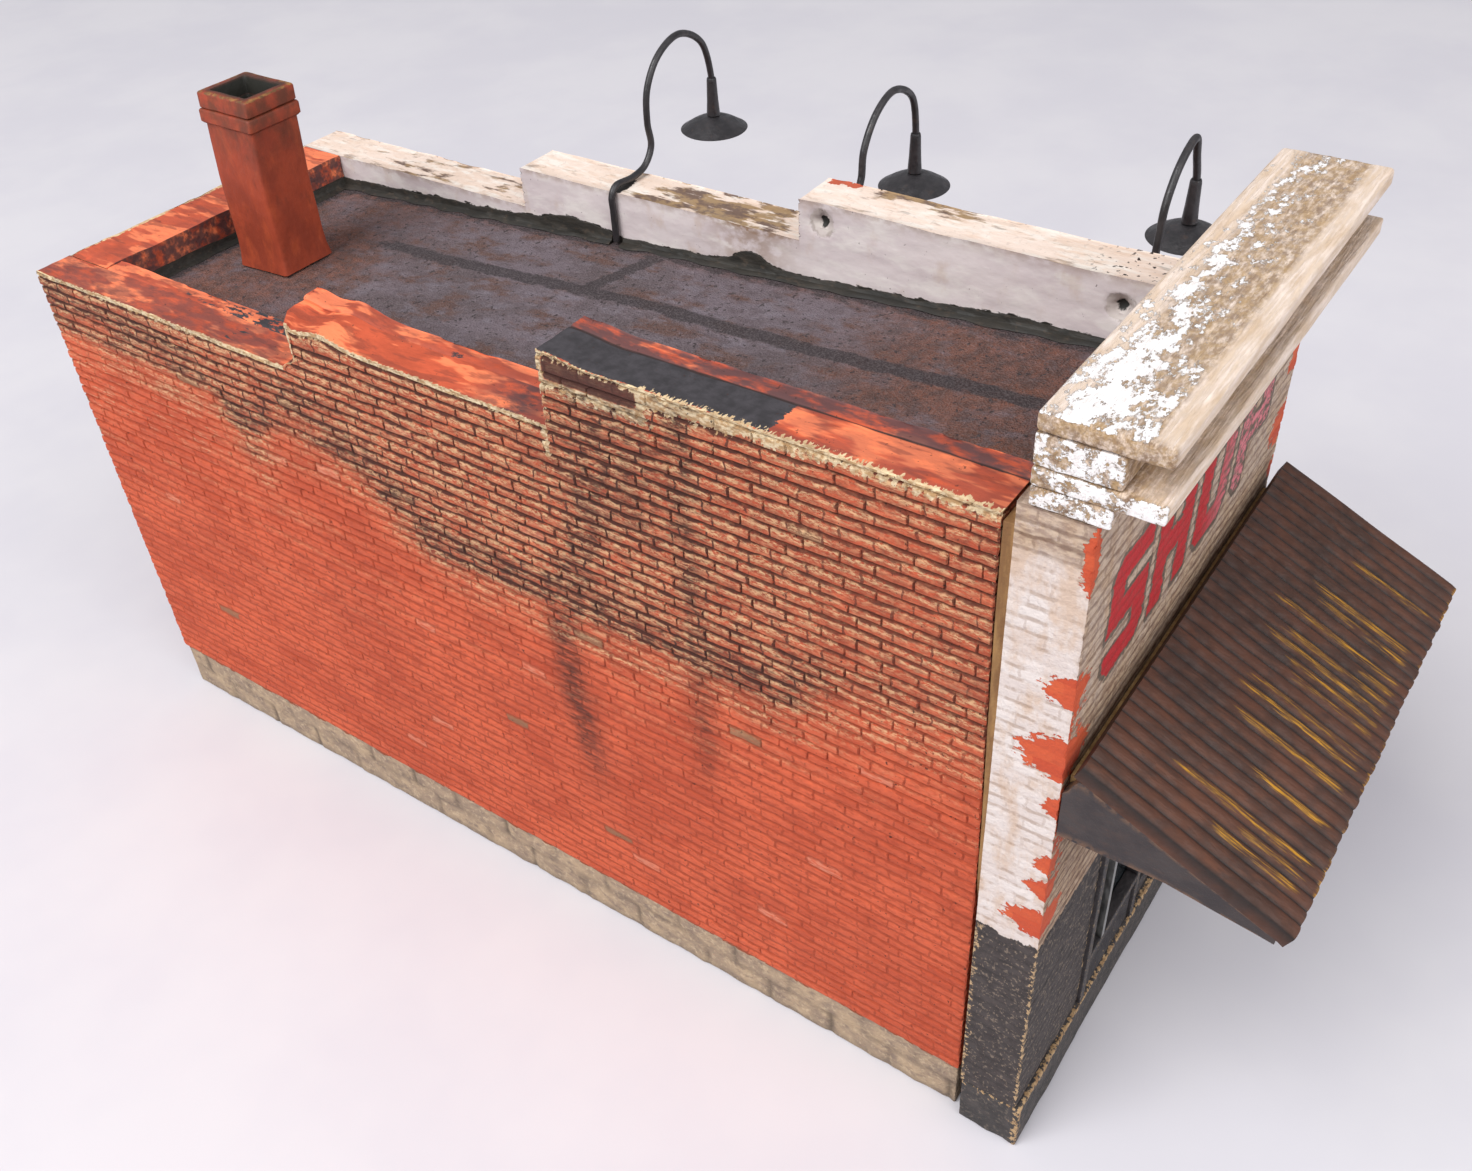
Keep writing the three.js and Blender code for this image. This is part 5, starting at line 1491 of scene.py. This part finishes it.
def awning():
    """The corrugated sheet: round ribs across, straight down the slope, with worn rib ends."""
    low, high = span("awning_sheet")
    wide = high[0] - low[0]
    pitch = wide / RIBS
    back, edge_y = -5.2, -16.5
    crest_back, crest_edge = 36.3, 31.0
    slope = math.atan2(crest_back - crest_edge, back - edge_y)
    facets = 8
    across = np.linspace(0, RIBS, RIBS * facets + 1)
    down = np.linspace(0, 1, 40)
    s, t = np.meshgrid(across, down)
    rib = np.clip(np.floor(s - 1e-6), 0, RIBS - 1)
    round_top = np.abs(np.sin(np.pi * s)) ** 0.8
    length = (back - edge_y) / math.cos(slope)
    run = t * (length - 0.08 * random_of(rib, rib * 0 + 3.0) * ramp(t, 0.9, 1.0))
    rise = -0.17 * (1 - round_top) - 0.02 * (1 + noise(np.stack([s * pitch, run], -1), (2.5, 3.5), 110.0))
    rise = rise - 0.05 * ramp(t, 0.985, 1.0)
    along = np.array([0, -math.cos(slope), -math.sin(slope)])
    normal = np.array([0, -math.sin(slope), math.cos(slope)])
    start = np.array([low[0], back, crest_back])
    top = start + run[..., None] * along + rise[..., None] * normal
    top[..., 0] += s * pitch
    bottom = top - (0.92 + 0.17 * round_top)[..., None] * normal
    points, faces = slab(top, bottom)
    chance = random_of(rib, rib * 0 + 7.0)
    begins = 0.15 + 0.75 * random_of(rib, rib * 0 + 9.0)
    streak = np.where(chance > 0.42, ramp(t, begins, begins + 0.12), 0) * (0.3 + 0.6 * chance)
    streak = streak * ramp(round_top, 0.45, 0.95) * ramp(t, 0.975, 0.9)
    streak = np.maximum(streak, 0.8 * ramp(t, 0.975, 0.995) * (0.3 + 0.9 * random_of(rib, rib * 0 + 5.0)))
    # Where the painted shade lies: down each groove between the ribs.
    groove = ramp(round_top, 0.6, 0.15)
    zero = np.zeros(s.size)
    masks = {
        "streak": np.concatenate([streak.ravel(), zero]), "groove": np.concatenate([groove.ravel(), zero])
    }
    piece(
        "awning_corrugated_sheet", points, faces, [AWNING_PAINT], ["awning_sheet"],
        masks=masks, sharp=60,
    )

    def underside(y):
        return crest_edge + (y - edge_y) * math.tan(slope) - 1.12 / math.cos(slope)

    for name in ["awning_end_left", "awning_end_right"]:
        board_low, board_high = span(name)
        y, h = np.meshgrid(
            np.linspace(board_low[1], board_high[1], 46), np.linspace(0, 1, 9), indexing="ij"
        )
        foot, kink = 30.7, -10.0
        soffit = foot + (board_low[2] - foot) * np.clip((kink - y) / (kink - board_low[1]), 0, 1)
        top_edge = np.minimum(underside(y), underside(back) - 1.2 * ramp(y, back + 0.1, board_high[1]))
        z = soffit + (top_edge - soffit) * h
        lump = 0.03 * (1 + rough(np.stack([y, z], -1), (1.8, 1.0), 111.0))
        near = np.stack([board_low[0] + lump, y, z], -1)
        far = np.stack([board_high[0] - lump, y, z], -1)
        points, faces = slab(near, far)
        edge = np.tile(np.maximum(ramp(h, 0.12, 0.0), ramp(h, 0.9, 1.0)).ravel(), 2)
        piece(name + "_board", points, faces, [DARK_BOARD], [name], masks={"edge": edge})


# ---------------------------------------------------------------- lamps


def tube(route, radius, sides=14):
    """A circle carried along a route of points in a plane of constant y, closed by a point at each end."""
    ahead = np.gradient(route, axis=0)
    ahead /= np.linalg.norm(ahead, axis=1, keepdims=True)
    side = np.array([0.0, 1.0, 0.0])
    up = np.cross(ahead, side)
    angle = np.linspace(0, 2 * math.pi, sides, endpoint=False)
    ring = np.cos(angle)[:, None] * side + np.sin(angle)[:, None] * up[:, None, :]
    points = (route[:, None, :] + np.reshape(radius, (-1, 1, 1)) * ring).reshape(-1, 3)
    grid = np.arange(len(points)).reshape(len(route), sides)
    grid = np.concatenate([grid, grid[:, :1]], 1)
    faces = [quads(grid)]
    points = np.concatenate([points, route[:1], route[-1:]])
    first, last = np.full(sides, len(points) - 2), np.full(sides, len(points) - 1)
    faces.append(np.stack([first, grid[0, 1:], grid[0, :-1]], 1))
    faces.append(np.stack([grid[-1, :-1], grid[-1, 1:], last], 1))
    return points, outward(points, faces)


def smooth_route(stations, y, count):
    """A centripetal Catmull-Rom curve through (x, z) stations, at even parameter steps."""
    p = np.array([(x, y, z) for x, z in stations], float)
    p = np.concatenate([[2 * p[0] - p[1]], p, [2 * p[-1] - p[-2]]])
    knots = np.concatenate([[0], np.cumsum(np.linalg.norm(np.diff(p, axis=0), axis=1) ** 0.5)])
    t = np.linspace(knots[1], knots[-2], count)
    k = np.clip(np.searchsorted(knots, t, side="right") - 1, 1, len(p) - 3)
    t0, t1, t2, t3 = (knots[k + j][:, None] for j in (-1, 0, 1, 2))
    p0, p1, p2, p3 = (p[k + j] for j in (-1, 0, 1, 2))
    t = t[:, None]
    a1 = (t1 - t) / (t1 - t0) * p0 + (t - t0) / (t1 - t0) * p1
    a2 = (t2 - t) / (t2 - t1) * p1 + (t - t1) / (t2 - t1) * p2
    a3 = (t3 - t) / (t3 - t2) * p2 + (t - t2) / (t3 - t2) * p3
    b1 = (t2 - t) / (t2 - t0) * a1 + (t - t0) / (t2 - t0) * a2
    b2 = (t3 - t) / (t3 - t1) * a2 + (t - t1) / (t3 - t1) * a3
    return (t2 - t) / (t2 - t1) * b1 + (t - t1) / (t2 - t1) * b2


def turned(profile, centre, sides=40):
    """A profile of (radius, height) carried round an upright axis; it starts and ends on the axis."""
    profile = np.array(profile, float)
    angle = np.linspace(0, 2 * math.pi, sides, endpoint=False)
    radius, height = profile[1:-1, 0], profile[1:-1, 1]
    points = np.stack(
        [
            np.outer(radius, np.cos(angle)),
            np.outer(radius, np.sin(angle)),
            np.repeat(height[:, None], sides, 1),
        ],
        -1,
    ).reshape(-1, 3)
    points = np.concatenate([points, [[0, 0, profile[0, 1]], [0, 0, profile[-1, 1]]]]) + centre
    grid = np.arange(len(radius) * sides).reshape(len(radius), sides)
    grid = np.concatenate([grid, grid[:, :1]], 1)
    first = np.full(sides, len(points) - 2)
    last = np.full(sides, len(points) - 1)
    faces = [
        quads(grid),
        np.stack([first, grid[0, 1:], grid[0, :-1]], 1),
        np.stack([last, grid[-1, :-1], grid[-1, 1:]], 1),
    ]
    return points, outward(points, faces)


PLUGGED_ROOT = [(-2.4, 0), (-0.4, 0), (0.7, 0.35)]
PLUGGED_LOOP = [(1.2, 1.6), (1.5, 3.4), (3.1, 5.4), (5.4, 6.2)]
HOOKED_LOOP = [(-1.6, 0.02), (-0.1, 0.35), (0.8, 1.5), (0.6, 3.3), (0.9, 5.6), (2.4, 7.5), (5.0, 8.3)]
LAMPS = {
    "rear": ("building", Z_MID + WIRE + 0.03, HOOKED_LOOP, (1.0, 6.9)),
    "middle": ("middle_lamp", 45.7, PLUGGED_LOOP, (0.7, 4.9)),
    "front": ("front_lamp", 46.4, PLUGGED_LOOP, (0.7, 4.9)),
}


def lamps():
    """Bent wire, a turned socket and a pressed dish each: two plugged into the wall, one hooked over it."""
    for name, (body, level, loop, (back, up)) in LAMPS.items():
        shade_low, shade_high = span(f"lamp_{name}_shade")
        sleeve_low, sleeve_high = span(f"lamp_{name}_sleeve")
        head = (shade_low + shade_high) / 2
        crown = shade_high[2]
        wall = RIGHT_HIGH[0]
        stations = [(wall + across, level + rise) for across, rise in loop]
        if name == "rear":
            inside = RIGHT_LOW[0] - WIRE - 0.03
            foot = roof_height(head[1]) + 0.15
            root = [
                (inside, foot), (inside, level - 1.5), (inside, level - 0.5), (inside + 0.5, level + 0.1)
            ]
        else:
            root = [(wall + across, LAMP_HOLE_Z[name] + rise) for across, rise in PLUGGED_ROOT]
        tip = sleeve_high[2]
        stations = root + stations + [
            (head[0] - back, level + up), (head[0], tip + 0.03), (head[0], tip - 1.4)
        ]
        points, faces = tube(smooth_route(stations, head[1], 150), WIRE)
        piece(
            f"lamp_{name}_wire", points, faces, [LAMP_PAINT], [f"lamp_{name}_arm"],
            body=body,
        )

        foot_r, top_r, bore = 0.52, 0.36, 0.28
        tall = sleeve_high[2] - sleeve_low[2]
        profile = [
            (0, 0), (foot_r - 0.06, 0), (foot_r, 0.07), (foot_r - 0.03, 0.5), (0.44, 1.2),
            (top_r + 0.02, tall - 0.25),
        ]
        profile += [
            (top_r, tall - 0.08), (top_r - 0.04, tall), (bore, tall), (bore, tall - 1.5), (0, tall - 1.5)
        ]
        points, faces = turned(profile, np.array([head[0], head[1], sleeve_low[2]]), 28)
        piece(
            f"lamp_{name}_socket", points, faces, [LAMP_PAINT], [f"lamp_{name}_sleeve"],
            body=body,
        )

        wide, deep, wall_thick = 2.6, 1.05, 0.25
        r = np.linspace(0, 1, 12)
        inner = np.stack([(wide - 0.15) * r, -wall_thick - (deep - wall_thick) * r**2 + 0.02], 1)[:-1]
        rim = [(wide - 0.13, -deep + 0.03), (wide - 0.06, -deep), (wide, -deep + 0.06)]
        outer = np.stack([wide * r, -deep * r**2], 1)[::-1][1:]
        profile = np.concatenate([inner, rim, outer])
        points, faces = turned(profile, np.array([head[0], head[1], crown]), 56)
        piece(
            f"lamp_{name}_dish", points, faces, [LAMP_PAINT], [f"lamp_{name}_shade"],
            body=body,
        )


# ---------------------------------------------------------------- shopfront


def joined(blocks, depth, seed):
    """Softened blocks, each from a low to a high corner, as the points and faces of one piece."""
    all_points, all_faces, start = [], [], 0
    for low, high in blocks:
        points, faces = soft_block(low, high, depth, 0.6, 0.02, (1, 1, 1), seed)
        all_points.append(points)
        all_faces += [f + start for f in faces]
        start += len(points)
    return np.concatenate(all_points), all_faces


def shopfront():
    """Joinery with softened edges: bars of the frame, the panel, the door leaf's stiles and the glass."""
    low, high = FRAME_LOW, FRAME_HIGH
    bar_size = 0.7
    panel_low, panel_high = span("shopfront_panel")
    door_low, door_high = span("door_leaf")
    transom = 25.6
    door_left = door_low[0] - 0.1
    uprights = [low[0], door_left - bar_size, high[0] - bar_size]
    bars = [((x, low[2]), (x + bar_size, high[2])) for x in uprights]
    for z in (panel_high[2], transom, high[2] - bar_size):
        end = door_left - bar_size if z == panel_high[2] else high[0] - bar_size
        bars.append(((low[0] + bar_size, z), (end, z + bar_size)))
    blocks = [((x0, low[1], z0), (x1, high[1], z1)) for (x0, z0), (x1, z1) in bars]
    points, faces = joined(blocks, 0.08, 120.0)
    edge = 0.45 * ramp(points[:, 1], low[1] + 0.12, low[1])
    nodes = ["shopfront_frame"]
    piece("shopfront_joinery", points, faces, [CHARCOAL], nodes, masks={"edge": edge})

    recess = 0.35
    x = steps_along(panel_low[0], panel_high[0], 0.3, 0.5)
    z = steps_along(panel_low[2], panel_high[2], 0.3, 0.5)
    px, pz = np.meshgrid(x, z)
    rim = np.minimum.reduce(
        [px - panel_low[0], panel_high[0] - px, pz - panel_low[2], panel_high[2] - pz]
    )
    front = np.stack([px, panel_low[1] + recess * ramp(rim, 0.55, 0.9), pz], -1)
    rear = np.stack([px, np.full_like(px, panel_high[1]), pz], -1)
    points, faces = slab(front, rear)
    piece(
        "shopfront_bulkhead", points, faces, [CHARCOAL], ["shopfront_panel"],
        masks={"edge": 0.2},
    )

    stile, sill = 1.2, 12.5
    left, right = door_low[0] + stile, door_high[0] - stile
    bottom, top = door_low[2], door_high[2]
    rails = [
        ((door_low[0], bottom), (left, top)),
        ((right, bottom), (door_high[0], top)),
        ((left, top - stile), (right, top)),
        ((left, bottom), (right, bottom + 1.6)),
        ((left, sill - 1.0), (right, sill)),
    ]
    panel = ((left, bottom + 1.6), (right, sill - 1.0))
    blocks = [((x0, door_low[1], z0), (x1, door_high[1], z1)) for (x0, z0), (x1, z1) in rails]
    (x0, z0), (x1, z1) = panel
    blocks.append(((x0, door_low[1] + 0.28, z0), (x1, door_high[1], z1)))
    points, faces = joined(blocks, 0.07, 130.0)
    nodes = ["door_leaf"]
    piece("door_joinery", points, faces, [CHARCOAL], nodes, masks={"edge": 0.25})

    for name in ["window_glass", "transom_glass", "door_glass"]:
        g_low, g_high = span(name)
        gx, gz = np.meshgrid(np.linspace(g_low[0], g_high[0], 14), np.linspace(g_low[2], g_high[2], 22))
        ripple = 0.015 * (1 + noise(np.stack([gx, gz], -1), (3.0, 4.0), 140.0))
        points, faces = slab(
            np.stack([gx, g_low[1] + ripple, gz], -1), np.stack([gx, g_high[1] + 0 * gx, gz], -1)
        )
        piece(name + "_pane", points, faces, [GLAZING], [name])


def kept_nodes():
    """CAD nodes whose own shape is right take a finish and keep their place."""
    sides = ["left", "right"]
    timber = [f"{part}_{side}" for side in sides for part in ["roof_bearer", "awning_rafter"]]
    timber += [f"corner_post_{end}_{side}" for end in ["front", "rear"] for side in sides]
    timber += ["awning_ledger", "awning_front_rail"]
    metal = ["window_mullion", "door_knob"]
    for slot_name, material, names in [
        ("bare_timber", BARE_TIMBER, timber), ("bare_metal", BARE_METAL, metal)
    ]:
        for name in names:
            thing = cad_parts[name]
            thing.data.materials.clear()
            thing.data.materials.append(material)


# ---------------------------------------------------------------- stage


def floor():
    """A wide sheet of pale card, flat and faintly mottled."""
    mesh = bpy.data.meshes.new("floor")
    reach = 3.0
    corners = [(-reach, -reach, 0), (reach, -reach, 0), (reach, reach, 0), (-reach, reach, 0)]
    mesh.from_pydata(corners, [], [(0, 1, 2, 3)])
    sheet = bpy.data.objects.new("floor", mesh)
    bpy.context.scene.collection.objects.link(sheet)
    m = Finish("white_card_matt", 0.7)
    m.colour = m.add("Mix", m.spots(30, 0.35, 0.65), "#d9d6da", "#d3d0d6")
    mesh.materials.append(m.close())


def light(name, place, size, watts, target):
    """A square lamp of that size, turned to face the target."""
    data = bpy.data.lights.new(name, "AREA")
    data.size = size
    data.energy = watts
    lamp = bpy.data.objects.new(name, data)
    lamp.location = place
    lamp.rotation_euler = (Vector(target) - Vector(place)).to_track_quat("-Z", "Y").to_euler()
    bpy.context.scene.collection.objects.link(lamp)


def lights():
    """Broad daylight from above on the camera's left, a weaker fill from the front and a pale sky."""
    middle = (0, 0, 0.025)
    light("window", (-0.42, 0.12, 0.55), 0.45, 4.6, middle)
    light("room", (-0.10, -0.55, 0.42), 0.6, 2.6, middle)
    world = bpy.data.worlds.new("pale_room")
    bpy.context.scene.world = world
    world.use_nodes = True
    world.node_tree.nodes["Background"].inputs["Color"].default_value = (0.93, 0.94, 1.0, 1)
    world.node_tree.nodes["Background"].inputs["Strength"].default_value = 0.42
    bpy.context.scene.view_settings.view_transform = "Standard"


CAMERA_PLACE = np.array([-46.893, -19.870, 87.081])
CAMERA_TILT, CAMERA_ROLL, CAMERA_TURN = 50.3126, 2.7753, -55.3384  # degrees


def camera():
    """A short lens close over the front left corner, looking down and along the left wall."""
    data = bpy.data.cameras.new("camera")
    data.sensor_width = 36
    data.lens = 34.37
    data.clip_start, data.clip_end = 0.005, 20
    thing = bpy.data.objects.new("camera", data)
    thing.location = CAMERA_PLACE * MM + ORIGIN
    thing.rotation_euler = np.radians([CAMERA_TILT, CAMERA_ROLL, CAMERA_TURN])
    bpy.context.scene.collection.objects.link(thing)
    bpy.context.scene.camera = thing


left_wall()
backing_strip()
right_wall()
rear_wall()
facade()
footings()
cornice()
plinth()
joint_strips()
roof()
flashings()
chimney()
awning()
lamps()
shopfront()
kept_nodes()
floor()
lights()
camera()

bpy.context.view_layer.update()
